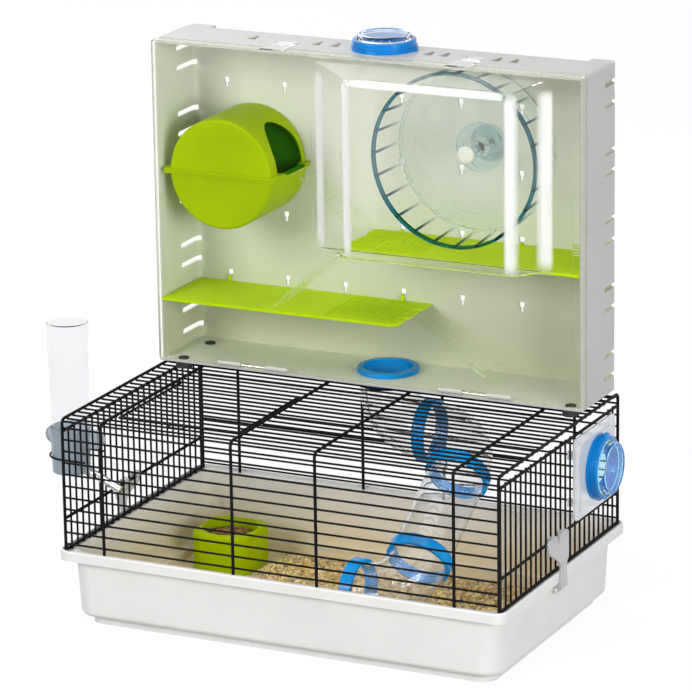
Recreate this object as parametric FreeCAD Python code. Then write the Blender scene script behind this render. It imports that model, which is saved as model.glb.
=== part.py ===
"""Two-storey cage for small rodents.

A pale tray holds the bedding.
A black wire top with a roof door stands in the tray's rim channel and is held by two end clips.
A shallow upper case with a clear front stands on the wire roof.
It holds a wheel, a nest house, two shelves and three ramps.
A clear tube leads from the case floor down to the bedding.

Units are millimetres.
X runs to the right, Y to the back and Z up, and the origin is the centre of the tray's underside.
"""

import FreeCAD, Part

import math
import os

# Tray
TRAY_HEIGHT = 76.0
TRAY_WALL = 2.2
RIM_HALF_X = 230.0
RIM_HALF_Y = 147.0
RIM_CORNER = 12.0
RIM_DEPTH = 10.0
RIM_PROUD = 8.5
RIM_CHANNEL_DEPTH = 2.5
RIM_CHANNEL_FLOOR = 2.2
BODY_CORNER = 20.0
BODY_DRAFT = 3.0
PLINTH_INSET = 10.0
PLINTH_HEIGHT = 8.0
BODY_BOTTOM_ROUND = 6.0

# Bedding on the tray floor
BEDDING_DEPTH = 4.5
BEDDING_MOUND = 5.5
BEDDING_MARGIN = 4.0

# Wire top
WIRE_MARGIN = 7.0
WIRE_HALF_X = RIM_HALF_X - WIRE_MARGIN
WIRE_HALF_Y = RIM_HALF_Y - WIRE_MARGIN
THICK_WIRE = 1.5
THIN_WIRE = 1.0
WELD_DEPTH = 0.5
ROOF_LEVEL = 127.65
BEND_RADIUS = 5.0
DOORWAY_INSET = 41.0
DOORWAY_WIDTH = 136.0
MIDDLE_POST_X = 40.0
RIGHT_POST_INSET = 44.5
FRONT_WIRE_COUNT = 11
FRONT_WIRE_FIRST = 4.3
FRONT_WIRE_TOP_GAP = 9.05
ROOF_WIRE_COUNT = 24
ROOF_WIRE_MARGIN = 9.7
END_WIRE_COUNT = 24
END_WIRE_MARGIN = 8.0
LOW_BAR_LEVEL = -0.7
CLIP_BAR_LEVEL = 30.0
TOP_BAR_GAP = 11.65
SEAT_GAP = 0.3

# Roof door
DOOR_FRAME_WIRE = 1.25
DOOR_LEFT_GAP = 7.0
DOOR_RIGHT_GAP = 4.0
DOOR_FRONT_REACH = 7.8
DOOR_HINGE_WIRE = 12
DOOR_FIRST_WIRE = 2
DOOR_LATCH_WIDTH = 16.0
DOOR_LATCH_REACH = 9.0
HINGE_CLEARANCE = 0.06

# End clips
CLIP_Y = -12.0
CLIP_HEAD_WIDTH = 46.0
CLIP_STEM_WIDTH = 15.0
CLIP_FLARE = (6.0, 25.0)
CLIP_WAIST = 1.6
CLIP_WAIST_SPAN = 7.0
CLIP_HEAD_ROUND = 3.5
CLIP_THICKNESS = 2.2
CLIP_PIVOT_INSET = 4.0
CLIP_PIVOT_Z = -18.0
CLIP_BARREL = 3.0
CLIP_PIN = 1.5
CLIP_EAR = 3.0
CLIP_NOTCH = 3.2
CLIP_NOTCH_DEPTH = 9.0

# Upper case
CASE_CENTRE_X = -0.2
CASE_SIDE_INSET = 0.8
CASE_HALF_X = WIRE_HALF_X - CASE_SIDE_INSET
CASE_BACK_INSET = 0.5
CASE_BACK_Y = WIRE_HALF_Y - CASE_BACK_INSET
SHELL_DEPTH = 72.5
COVER_DEPTH = 15.0
CASE_SPLIT_Y = CASE_BACK_Y - SHELL_DEPTH
CASE_FRONT_Y = CASE_SPLIT_Y - COVER_DEPTH
CASE_FOOT_GAP = 5.5
CASE_HEIGHT = 318.3
CASE_WALL = 2.2
CASE_BACK_ROUND = 20.0
CASE_CORNER_ROUND = 8.0
CASE_EDGE_ROUND = 3.0
CASE_PAD_WIDTH = 25.0
CASE_PAD_DROP = 1.5
COVER_WALL = 2.0
COVER_LIP = 1.2
COVER_LIP_REACH = 10.0
KEYHOLE_MARGIN = 35.6
KEYHOLE_SHIFT = 1.2
KEYHOLE_RISES = (69.55, 133.85, 198.15, 262.35)
KEYHOLE_WIDE = 5.4
KEYHOLE_NARROW = 2.8
KEYHOLE_HEIGHT = 10.0
SIDE_SLOT_RISES = (16.05, 37.65, 82.95, 103.05, 148.05, 169.15, 214.85, 234.65, 279.85, 299.55)
SIDE_SLOT_HEIGHT = 5.2
SIDE_SLOT_DEPTH = 5.5
SIDE_SLOT_START = (33.0, 42.0)
TOP_VENT_X = (-134.0, -114.0, -66.0, -47.0, 50.5, 66.5, 119.5, 137.0)
TOP_VENT_SPAN = (22.0, 40.0)
TOP_VENT_WIDTH = 9.0
FOOT_RADIUS = 8.0
FOOT_STEM = 4.5
FOOT_HEAD = 5.0
FOOT_INSET_X = (22.9, 14.0)
FOOT_FROM_SPLIT = (-6.0, 50.0)

# Cover hinge at the bottom front edge
COVER_HINGE_BACK = 2.0
COVER_HINGE_RISE = 2.65
KNUCKLE_RADIUS = 2.4
HINGE_PIN = 1.0
HINGE_STRIP_X = (-120.5, 113.0)
HINGE_STRIP_LENGTH = 75.0
KNUCKLE_GAP = 0.4

# Bulge of the cover in front of the wheel, as margins round the wheel
BULGE_DEPTH = 32.0
BULGE_BASE_MARGINS = (59.0, 12.0, 13.4)
BULGE_FACE_MARGINS = (12.0, -14.0, 11.4)
BULGE_TOP_GAPS = (2.15, 15.45)
BULGE_WALL = 1.6
BULGE_BAND = 4.0
BULGE_BAND_DEPTH = 3.0

# Grip ribs on the cover's side edges
GRIP_RISES = (67.0, 212.0)
GRIP_PITCH = 2.7
GRIP_HEIGHT = 0.7
GRIP_WIDTH = 8.0

# Cover latches on the case top
LATCH_X = (-94.0, 98.0)
LATCH_WIDTH = 21.0
LATCH_POCKET_SPAN = (9.0, 31.0)
LATCH_POCKET_DEPTH = 5.4
LATCH_BARREL = 2.4
LATCH_PIN = 1.2
LATCH_AXIS_BACK = 19.0
LATCH_THICKNESS = 1.6

# Tube system
TUBE_RADIUS = 28.0
TUBE_WALL = 1.6
TUBE_LEG = 7.0
ELBOW_RADIUS = 40.0
COUPLING_WALL = 3.35
COUPLING_WIDTH = 12.5
COUPLING_CLEARANCE = 0.15
MOUTH_OVERHANG = 5.0
PORT_X = 1.5
PORT_FROM_BACK = 39.0
FIRST_RING_DROP = 53.15
MOUTH_HEIGHT = 45.3
TUBE_SLOPE = 33.1
SLEEVE_CLEARANCE = 0.2
SLEEVE_WALL = 1.8
FLANGE_PROUD = 2.25
EAR_PROUD = 6.0
TOP_RING_HEIGHT = 10.0
PORT_SEAT_HEIGHT = 6.0
PORT_STEP_HEIGHT = 3.5
CAP_BASE_INSET = 1.0
CAP_TOP_INSET = 4.0
TOP_CAP_RISE = 4.7
SIDE_CAP_RISE = 7.0
CAP_TEETH = 20

# Side port in the right end
SIDE_PORT_Y = 76.5
SIDE_PORT_Z = 75.0
SIDE_PLATE_SIZE = (97.0, 80.5)
SIDE_PLATE_THICKNESS = 4.7
SIDE_PLATE_RIM = 2.2
SIDE_PLATE_BORDER = 8.0
SIDE_PLATE_WALL = 1.8
SIDE_PLATE_CORNER = 6.0
SIDE_PORT_FIRST_CUT = 15
SIDE_PORT_LAST_CUT = 21

# Wheel
WHEEL_FROM_CENTRE = 93.2
WHEEL_TOP_GAP = 6.05
WHEEL_RADIUS = 84.0
WHEEL_BACK_RADIUS = 80.5
WHEEL_BAND = 3.0
WHEEL_BEHIND_COVER = 0.5
WHEEL_DEPTH = 57.5
WHEEL_RUNGS = 24
WHEEL_RUNG_RADIUS = 1.3
WHEEL_HUB_RADIUS = 7.5
WHEEL_HUB_SET_BACK = 30.5
AXLE_RADIUS = 4.0
AXLE_CLEARANCE = 0.06
BRACKET_DISC = 24.0
BRACKET_BOSS = 10.0
BRACKET_FOOT = 18.0
SCREW_RADIUS = 2.0
SCREW_LENGTH = 14.0
SCREW_HEAD = (4.5, 2.6)
WHEEL_STEP_RADIUS = 62.0
WHEEL_GUSSETS = 6

# Shelves
SHELF_THICKNESS = 2.5
SHELF_FROM_COVER = 3.5
SHELF_SIDE_GAP = 3.8
SHELF_BACK_GAP = 0.3
LEFT_SHELF_END = 31.0
LEFT_SHELF_DROP = 6.7
RIGHT_SHELF_END = -28.0
RIGHT_SHELF_DROP = 2.5
SHELF_RIDGE_ZONE = 75.0
SHELF_RIDGE_PITCH = 5.0
SHELF_RIDGE_HEIGHT = 0.6
SHELF_RIDGE_WIDTH = 1.2

# Nest house
HOUSE_SIDE_GAP = 6.9
HOUSE_DROP = 8.0
HOUSE_RADIUS = 54.0
HOUSE_WALL = 2.0
HOUSE_FROM_COVER = 8.0
HOUSE_FLANGE = 6.5
HOUSE_FLANGE_THICKNESS = 2.0
HOUSE_FLANGE_ROUND = 5.5
HOUSE_TAB = 0.7
ENTRANCE_START = 15.0
ENTRANCE_WIDTH = 53.0
ENTRANCE_TOP = 45.0

# Ramps
RAMP_THICKNESS = 1.8
RAMP_LIP = 4.0
RAMP_RIDGE_PITCH = 8.0
RAMP_END_GAP = 1.9

# Water bottle
BOTTLE_FROM_WIRE = 25.0
BOTTLE_WIRE_GAP = 4
BOTTLE_TOP = 205.0
BOTTLE_BASE_RADIUS = 20.0
BOTTLE_NECK_RADIUS = 17.0
BOTTLE_WALL = 1.2
HOLDER_TOP = 103.0
HOLDER_BOTTOM = 57.0
HOLDER_WALL = 2.0
HOLDER_WING = (26.0, 36.0)
SPOUT_RADIUS = 4.0
SPOUT_BORE = 3.1
SPOUT_BALL = 3.0
SPOUT_START = (15.0, 60.3)
SPOUT_END = (53.0, 43.5)

# Bowl
BOWL_FROM_RIM = (72.0, 76.0)
BOWL_SIDE = 62.0
BOWL_CORNER = 15.0
BOWL_HEIGHT = 39.0
BOWL_MOUTH = 27.5
BOWL_FLOOR = 6.0
FOOD_DROP = 7.0

# Places that follow from the sizes above
RIM = TRAY_HEIGHT
CLIP_PIVOT_X = RIM_HALF_X - CLIP_PIVOT_INSET
THIN_INSET = THICK_WIRE + THIN_WIRE - WELD_DEPTH
ROOF_THIN_LEVEL = ROOF_LEVEL - THIN_INSET
DOORWAY_LEFT = -WIRE_HALF_X + DOORWAY_INSET
DOORWAY_RIGHT = DOORWAY_LEFT + DOORWAY_WIDTH
RIGHT_POST_X = WIRE_HALF_X - RIGHT_POST_INSET
FRAME_WIRE_X = (-WIRE_HALF_X, DOORWAY_LEFT, DOORWAY_RIGHT, MIDDLE_POST_X, RIGHT_POST_X, WIRE_HALF_X)
FRONT_WIRE_PITCH = (ROOF_LEVEL - FRONT_WIRE_TOP_GAP - FRONT_WIRE_FIRST) / (FRONT_WIRE_COUNT - 1)
ROOF_WIRE_FIRST = -WIRE_HALF_Y + ROOF_WIRE_MARGIN
ROOF_WIRE_PITCH = -2 * ROOF_WIRE_FIRST / (ROOF_WIRE_COUNT - 1)
END_WIRE_FIRST = -WIRE_HALF_Y + END_WIRE_MARGIN
END_WIRE_PITCH = -2 * END_WIRE_FIRST / (END_WIRE_COUNT - 1)
END_BAR_LEVELS = (LOW_BAR_LEVEL, CLIP_BAR_LEVEL, ROOF_LEVEL - TOP_BAR_GAP)
DOOR_X = (DOORWAY_LEFT + DOOR_LEFT_GAP, DOORWAY_RIGHT - DOOR_RIGHT_GAP)
DOOR_FRONT_Y = ROOF_WIRE_FIRST + ROOF_WIRE_PITCH * DOOR_FIRST_WIRE - DOOR_FRONT_REACH
DOOR_MIDDLE = (DOOR_X[0] + DOOR_X[1]) / 2
DOOR_LATCH_X = (DOOR_MIDDLE - DOOR_LATCH_WIDTH / 2, DOOR_MIDDLE + DOOR_LATCH_WIDTH / 2)
CASE_BOTTOM = ROOF_LEVEL + CASE_FOOT_GAP
CASE_TOP = CASE_BOTTOM + CASE_HEIGHT
CASE_LEFT = CASE_CENTRE_X - CASE_HALF_X
CASE_RIGHT = CASE_CENTRE_X + CASE_HALF_X
CASE_FLOOR_TOP = CASE_BOTTOM + CASE_WALL
CASE_INNER_BACK = CASE_BACK_Y - CASE_WALL
KEYHOLE_PITCH_X = (2 * CASE_HALF_X - 2 * KEYHOLE_MARGIN) / 6
KEYHOLE_CENTRE_X = CASE_CENTRE_X + KEYHOLE_SHIFT
KEYHOLE_LEVELS = [CASE_BOTTOM + rise for rise in KEYHOLE_RISES]
SIDE_SLOT_LEVELS = [CASE_BOTTOM + rise for rise in SIDE_SLOT_RISES]
TOP_VENT_Y = [CASE_SPLIT_Y + back for back in TOP_VENT_SPAN]
FOOT_X = (CASE_LEFT + FOOT_INSET_X[0], CASE_RIGHT - FOOT_INSET_X[1])
FOOT_Y = [CASE_SPLIT_Y + back for back in FOOT_FROM_SPLIT]
COVER_HINGE_Y = CASE_FRONT_Y + COVER_HINGE_BACK
COVER_HINGE_Z = CASE_FLOOR_TOP + COVER_HINGE_RISE
GRIP_LEVELS = [CASE_BOTTOM + rise for rise in GRIP_RISES]
LATCH_POCKET = [CASE_SPLIT_Y + back for back in LATCH_POCKET_SPAN]
LATCH_AXIS_Y = CASE_SPLIT_Y + LATCH_AXIS_BACK
WHEEL_X = CASE_CENTRE_X + WHEEL_FROM_CENTRE
WHEEL_Z = CASE_TOP - WHEEL_TOP_GAP - WHEEL_RADIUS
WHEEL_FRONT_Y = CASE_FRONT_Y + WHEEL_BEHIND_COVER
WHEEL_HUB_FRONT_Y = WHEEL_FRONT_Y + WHEEL_HUB_SET_BACK
SHELF_FRONT_Y = CASE_FRONT_Y + SHELF_FROM_COVER
LEFT_SHELF_X = (CASE_LEFT + SHELF_SIDE_GAP, LEFT_SHELF_END)
LEFT_SHELF_TOP = KEYHOLE_LEVELS[0] - LEFT_SHELF_DROP
RIGHT_SHELF_X = (RIGHT_SHELF_END, CASE_RIGHT - SHELF_SIDE_GAP)
RIGHT_SHELF_TOP = KEYHOLE_LEVELS[1] - RIGHT_SHELF_DROP
HOUSE_X = CASE_LEFT + HOUSE_SIDE_GAP + HOUSE_FLANGE + HOUSE_RADIUS
HOUSE_Z = KEYHOLE_LEVELS[2] - HOUSE_DROP
HOUSE_FRONT_Y = CASE_FRONT_Y + HOUSE_FROM_COVER
ENTRANCE_Y = (HOUSE_FRONT_Y + ENTRANCE_START, HOUSE_FRONT_Y + ENTRANCE_START + ENTRANCE_WIDTH)
PORT_Y = CASE_BACK_Y - PORT_FROM_BACK
FIRST_RING_LEVEL = CASE_BOTTOM - FIRST_RING_DROP
COUPLING_RADIUS = TUBE_RADIUS + COUPLING_CLEARANCE + COUPLING_WALL
RING_SLEEVE = TUBE_RADIUS - TUBE_WALL - SLEEVE_CLEARANCE
RING_BORE = RING_SLEEVE - SLEEVE_WALL
RING_FLANGE = TUBE_RADIUS + FLANGE_PROUD
RING_EAR = TUBE_RADIUS + EAR_PROUD
CAP_BASE = TUBE_RADIUS - CAP_BASE_INSET
CAP_TOP = TUBE_RADIUS - CAP_TOP_INSET
TRAY_FLOOR_TOP = TRAY_WALL
STEPS_DOWN = FIRST_RING_LEVEL - (TRAY_FLOOR_TOP + MOUTH_HEIGHT - TRAY_HEIGHT)
STRAIGHT_LENGTH = STEPS_DOWN / math.sin(math.radians(TUBE_SLOPE)) - 2 * (ELBOW_RADIUS + TUBE_LEG)
BOTTLE_X = -WIRE_HALF_X - BOTTLE_FROM_WIRE
BOTTLE_Y = END_WIRE_FIRST + END_WIRE_PITCH * (BOTTLE_WIRE_GAP + 0.5)
BOWL_X = -RIM_HALF_X + BOWL_FROM_RIM[0]
BOWL_Y = RIM_HALF_Y - BOWL_FROM_RIM[1]


def at(x, y, z):
    """A point given from the tray rim's level."""
    return FreeCAD.Vector(x, y, z + RIM)


def direction(x, y, z):
    return FreeCAD.Vector(x, y, z)


def box(x_range, y_range, z_range):
    """A block between levels given from the tray rim."""
    size = [high - low for low, high in (x_range, y_range, z_range)]
    return Part.makeBox(size[0], size[1], size[2], at(x_range[0], y_range[0], z_range[0]))


def rod(start, end, radius):
    along = end - start
    return Part.makeCylinder(radius, along.Length, start, along)


def ring(centre, axis, outer, inner, length):
    """A plain ring that starts at its centre point and runs along its axis."""
    body = Part.makeCylinder(outer, length, centre, axis)
    return body.cut(Part.makeCylinder(inner, length, centre, axis))


def rounded_rectangle(half_x, half_y, corner, level, centre=(0.0, 0.0)):
    """A closed outline at a height over the tray's underside."""
    cx, cy = centre
    edges = []
    turn = math.sqrt(0.5) * corner
    corners = ((1, 1), (-1, 1), (-1, -1), (1, -1))
    points = []
    for sx, sy in corners:
        px, py = cx + sx * half_x, cy + sy * half_y
        ix, iy = px - sx * corner, py - sy * corner
        side = FreeCAD.Vector(px, iy, level)
        end = FreeCAD.Vector(ix, py, level)
        middle = FreeCAD.Vector(ix + sx * turn, iy + sy * turn, level)
        points.append((side, middle, end) if sx * sy > 0 else (end, middle, side))
    for index, (first, middle, last) in enumerate(points):
        edges.append(Part.Arc(first, middle, last).toShape())
        following = points[(index + 1) % 4][0]
        edges.append(Part.LineSegment(last, following).toShape())
    return Part.Wire(edges)


def slab(outline, height):
    return Part.Face(outline).extrude(FreeCAD.Vector(0, 0, height))


def polygon(points):
    return Part.makePolygon(points + [points[0]])


def fused(shapes):
    whole = shapes[0].multiFuse(shapes[1:]) if len(shapes) > 1 else shapes[0]
    return whole.removeSplitter()


def wire_run(start, end, radius):
    return rod(at(*start), at(*end), radius)


# Tray and bedding


def tray_level_shape(inset, bottom, top, plinth_bottom):
    """The tray's body with its plinth, drawn in by an inset."""
    half_x = RIM_HALF_X - RIM_PROUD - inset
    half_y = RIM_HALF_Y - RIM_PROUD - inset
    corner = BODY_CORNER - inset
    share = (TRAY_HEIGHT - bottom) / (TRAY_HEIGHT - PLINTH_HEIGHT)
    draft = BODY_DRAFT * share
    low = rounded_rectangle(half_x - draft, half_y - draft, corner, bottom)
    high = rounded_rectangle(half_x, half_y, corner, top)
    body = Part.makeLoft([low, high], True, True)
    lowest = [edge for edge in body.Edges if edge.BoundBox.ZMax < bottom + 0.01]
    body = body.makeFillet(BODY_BOTTOM_ROUND - inset, lowest)
    plinth = slab(
        rounded_rectangle(
            half_x - BODY_DRAFT - PLINTH_INSET,
            half_y - BODY_DRAFT - PLINTH_INSET,
            corner - PLINTH_INSET + 4.0,
            plinth_bottom,
        ),
        bottom - plinth_bottom + 1.0,
    )
    return body.fuse(plinth)


def make_tray():
    channel = TRAY_HEIGHT - RIM_CHANNEL_DEPTH
    outer = tray_level_shape(0.0, PLINTH_HEIGHT, channel, 0.0)
    inner = tray_level_shape(TRAY_WALL, PLINTH_HEIGHT + TRAY_WALL, channel + 1.0, TRAY_WALL)
    skirt_x = RIM_HALF_X - TRAY_WALL
    skirt_y = RIM_HALF_Y - TRAY_WALL
    skirt = slab(
        rounded_rectangle(RIM_HALF_X, RIM_HALF_Y, RIM_CORNER, TRAY_HEIGHT - RIM_DEPTH), RIM_DEPTH
    )
    top_edges = [edge for edge in skirt.Edges if edge.BoundBox.ZMin > TRAY_HEIGHT - 0.01]
    skirt = skirt.makeFillet(1.6, top_edges)
    skirt = skirt.cut(
        slab(
            rounded_rectangle(
                skirt_x, skirt_y, RIM_CORNER - TRAY_WALL, TRAY_HEIGHT - RIM_DEPTH - 1.0
            ),
            RIM_DEPTH + 2.0,
        )
    )
    shelf = slab(
        rounded_rectangle(
            skirt_x + 0.5, skirt_y + 0.5, RIM_CORNER - TRAY_WALL, channel - RIM_CHANNEL_FLOOR
        ),
        RIM_CHANNEL_FLOOR,
    )
    tray = fused([outer, shelf, skirt]).cut(inner)
    return fused([tray] + clip_ears())


def clip_ears():
    """Two lugs on each end wall that hold the clip's pins."""
    ears = []
    barrel_half = CLIP_STEM_WIDTH / 2
    for side in (-1, 1):
        for end in (-1, 1):
            near = CLIP_Y + end * (barrel_half + 0.3)
            far = near + end * CLIP_EAR
            wall = side * (RIM_HALF_X - RIM_PROUD - BODY_DRAFT)
            pivot = side * CLIP_PIVOT_X
            span = tuple(sorted((near, far)))
            lug = box(
                tuple(sorted((wall, pivot))),
                span,
                (CLIP_PIVOT_Z - CLIP_BARREL, CLIP_PIVOT_Z + CLIP_BARREL),
            )
            nose = wire_run((pivot, span[0], CLIP_PIVOT_Z), (pivot, span[1], CLIP_PIVOT_Z), CLIP_BARREL)
            hole = wire_run(
                (pivot, span[0] - 1, CLIP_PIVOT_Z),
                (pivot, span[1] + 1, CLIP_PIVOT_Z),
                CLIP_PIN + HINGE_CLEARANCE,
            )
            ears.append(lug.fuse(nose).cut(hole))
    return ears


def make_bedding():
    """A thin spread of bedding that leaves the floor's left part bare."""
    half_x = RIM_HALF_X - RIM_PROUD - BODY_DRAFT - PLINTH_INSET - TRAY_WALL - BEDDING_MARGIN
    half_y = RIM_HALF_Y - RIM_PROUD - BODY_DRAFT - PLINTH_INSET - TRAY_WALL - BEDDING_MARGIN
    level = TRAY_FLOOR_TOP
    bowl_edge = BOWL_X + BOWL_SIDE / 2 + 3.0
    corners = (
        (-half_x + 18.0, -half_y),
        (half_x, -half_y),
        (half_x, half_y),
        (bowl_edge + 6.0, half_y),
        (bowl_edge, 70.0),
        (bowl_edge, 35.0),
        (-half_x + 4.0, 28.0),
        (-half_x + 18.0, -20.0),
    )
    outline = polygon([FreeCAD.Vector(x, y, level) for x, y in corners])
    spread = slab(outline, BEDDING_DEPTH)
    mound = Part.makeSphere(1.0)
    stretch = FreeCAD.Matrix()
    stretch.scale(150.0, 90.0, BEDDING_MOUND)
    mound = mound.transformGeometry(stretch)
    mound.translate(FreeCAD.Vector(45.0, -25.0, level + BEDDING_DEPTH))
    mound = mound.common(Part.makeBox(400, 300, 20, FreeCAD.Vector(-160, -150, level + 0.5)))
    return fused([spread, mound])


# Wire top


def side_grille(side):
    """The front or back panel: upright frame wires with their bends, and thin level wires."""
    y = side * WIRE_HALF_Y
    inner_y = y - side * THIN_INSET
    bottom = -RIM_CHANNEL_DEPTH + SEAT_GAP
    bend_level = ROOF_LEVEL - BEND_RADIUS
    shapes = []
    for x in FRAME_WIRE_X:
        shapes.append(wire_run((x, y, bottom), (x, y, bend_level), THICK_WIRE))
        bend_centre = at(x, y - side * BEND_RADIUS, bend_level)
        bend = Part.makeTorus(
            BEND_RADIUS, THICK_WIRE, direction(0, 0, 0), direction(0, 0, 1), -180, 180, 90
        )
        bend.rotate(direction(0, 0, 0), direction(1, 0, 0), 90)
        bend.rotate(direction(0, 0, 0), direction(0, 0, 1), 90 if side > 0 else -90)
        bend.translate(bend_centre)
        shapes.append(bend)
    inner_bend = (BEND_RADIUS - THIN_INSET) * math.sqrt(0.5)
    runs = [
        (inner_y, FRONT_WIRE_FIRST + FRONT_WIRE_PITCH * index) for index in range(FRONT_WIRE_COUNT)
    ]
    runs.append((y - side * (BEND_RADIUS - inner_bend), bend_level + inner_bend))
    for run_y, level in runs:
        shapes.append(wire_run((-WIRE_HALF_X, run_y, level), (WIRE_HALF_X, run_y, level), THIN_WIRE))
    return fused(shapes)


def roof_wire_y(index):
    return ROOF_WIRE_FIRST + ROOF_WIRE_PITCH * index


def make_roof_grille():
    """The level frame wires and thin wires, open at the door and round the tube."""
    reach = WIRE_HALF_Y - BEND_RADIUS
    shapes = [
        wire_run((x, -reach, ROOF_LEVEL), (x, reach, ROOF_LEVEL), THICK_WIRE) for x in FRAME_WIRE_X
    ]
    tube_ring = TUBE_RADIUS + 3.5
    for index in range(ROOF_WIRE_COUNT):
        y = roof_wire_y(index)
        spans = [(-WIRE_HALF_X, WIRE_HALF_X)]
        if DOOR_FIRST_WIRE <= index < DOOR_HINGE_WIRE:
            spans = [(-WIRE_HALF_X, FRAME_WIRE_X[1]), (FRAME_WIRE_X[2], WIRE_HALF_X)]
        offset = y - PORT_Y
        if abs(offset) < tube_ring:
            chord = math.sqrt(tube_ring**2 - offset**2)
            spans = [(-WIRE_HALF_X, PORT_X - chord), (PORT_X + chord, WIRE_HALF_X)]
        for low, high in spans:
            shapes.append(wire_run((low, y, ROOF_THIN_LEVEL), (high, y, ROOF_THIN_LEVEL), THIN_WIRE))
    shapes.append(Part.makeTorus(tube_ring, DOOR_FRAME_WIRE, at(PORT_X, PORT_Y, ROOF_THIN_LEVEL)))
    return fused(shapes)


def end_grille(side):
    """An end panel: three frame bars and thin uprights, open behind the side port."""
    x = side * WIRE_HALF_X
    inner_x = x - side * THIN_INSET
    reach = WIRE_HALF_Y - THICK_WIRE - 0.02
    shapes = [wire_run((x, -reach, z), (x, reach, z), THICK_WIRE) for z in END_BAR_LEVELS]
    bottom = END_BAR_LEVELS[0] - THICK_WIRE + 0.2
    top = END_BAR_LEVELS[2] + THIN_WIRE
    for index in range(END_WIRE_COUNT):
        y = END_WIRE_FIRST + END_WIRE_PITCH * index
        spans = [(bottom, top)]
        if side > 0 and SIDE_PORT_FIRST_CUT <= index <= SIDE_PORT_LAST_CUT:
            spans = [(bottom, END_BAR_LEVELS[1] + THIN_WIRE)]
        for low, high in spans:
            shapes.append(wire_run((inner_x, y, low), (inner_x, y, high), THIN_WIRE))
    return fused(shapes)


def make_roof_door():
    """A wire flap on loops round one roof wire, with a latch loop at its front."""
    hinge_y = roof_wire_y(DOOR_HINGE_WIRE)
    loop_radius = THIN_WIRE + HINGE_CLEARANCE + DOOR_FRAME_WIRE
    level = ROOF_THIN_LEVEL + loop_radius
    shapes = []
    for x in DOOR_X:
        shapes.append(wire_run((x, DOOR_FRONT_Y, level), (x, hinge_y, level), DOOR_FRAME_WIRE))
        loop = Part.makeTorus(
            loop_radius, DOOR_FRAME_WIRE, direction(0, 0, 0), direction(0, 0, 1), -180, 180, 300
        )
        loop.rotate(direction(0, 0, 0), direction(0, 1, 0), 90)
        loop.rotate(direction(0, 0, 0), direction(1, 0, 0), -210)
        loop.translate(at(x, hinge_y, ROOF_THIN_LEVEL))
        shapes.append(loop)
        shapes.append(Part.makeSphere(DOOR_FRAME_WIRE, at(x, DOOR_FRONT_Y, level)))
    shapes.append(
        wire_run((DOOR_X[0], DOOR_FRONT_Y, level), (DOOR_X[1], DOOR_FRONT_Y, level), DOOR_FRAME_WIRE)
    )
    thin_level = level - DOOR_FRAME_WIRE - THIN_WIRE + WELD_DEPTH
    for index in range(DOOR_FIRST_WIRE, DOOR_HINGE_WIRE):
        y = roof_wire_y(index)
        shapes.append(wire_run((DOOR_X[0], y, thin_level), (DOOR_X[1], y, thin_level), THIN_WIRE))
    latch_level = ROOF_THIN_LEVEL + 2 * THIN_WIRE + SEAT_GAP
    tip = DOOR_FRONT_Y - DOOR_LATCH_REACH
    for x in DOOR_LATCH_X:
        shapes.append(wire_run((x, DOOR_FRONT_Y, latch_level), (x, tip, latch_level), THIN_WIRE))
        shapes.append(Part.makeSphere(THIN_WIRE, at(x, tip, latch_level)))
    shapes.append(
        wire_run((DOOR_LATCH_X[0], tip, latch_level), (DOOR_LATCH_X[1], tip, latch_level), THIN_WIRE)
    )
    return fused(shapes)


def clip_half_width(level):
    """Half the clip's width at a level: a narrow stem that flares into the head."""
    flare_start, flare_end = CLIP_FLARE
    share = min(1.0, max(0.0, (level - flare_start) / (flare_end - flare_start)))
    smooth = share * share * (3.0 - 2.0 * share)
    stem = CLIP_STEM_WIDTH / 2
    waist = math.exp(-((level / CLIP_WAIST_SPAN) ** 2)) * CLIP_WAIST
    return stem - waist + (CLIP_HEAD_WIDTH / 2 - stem) * smooth


def clip_front(side, top):
    """The clip's outline seen from the end, as a thick block."""
    low = CLIP_PIVOT_Z - CLIP_BARREL
    levels = [low + (top - CLIP_HEAD_ROUND - low) * index / 18 for index in range(19)]
    right = [(clip_half_width(level), level) for level in levels]
    half = CLIP_HEAD_WIDTH / 2
    right.append((half - 0.3 * CLIP_HEAD_ROUND, top - 0.3 * CLIP_HEAD_ROUND))
    right.append((half - CLIP_HEAD_ROUND, top))
    right += [(CLIP_NOTCH, top), (0.8 * CLIP_NOTCH, top - 6.0), (0.3 * CLIP_NOTCH, top - CLIP_NOTCH_DEPTH)]
    left = [(-width, level) for width, level in reversed(right)]
    x = side * (CLIP_PIVOT_X - 12.0)
    outline = polygon([at(x, CLIP_Y + width, level) for width, level in right + left])
    return Part.Face(outline).extrude(direction(side * 24.0, 0, 0))


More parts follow.
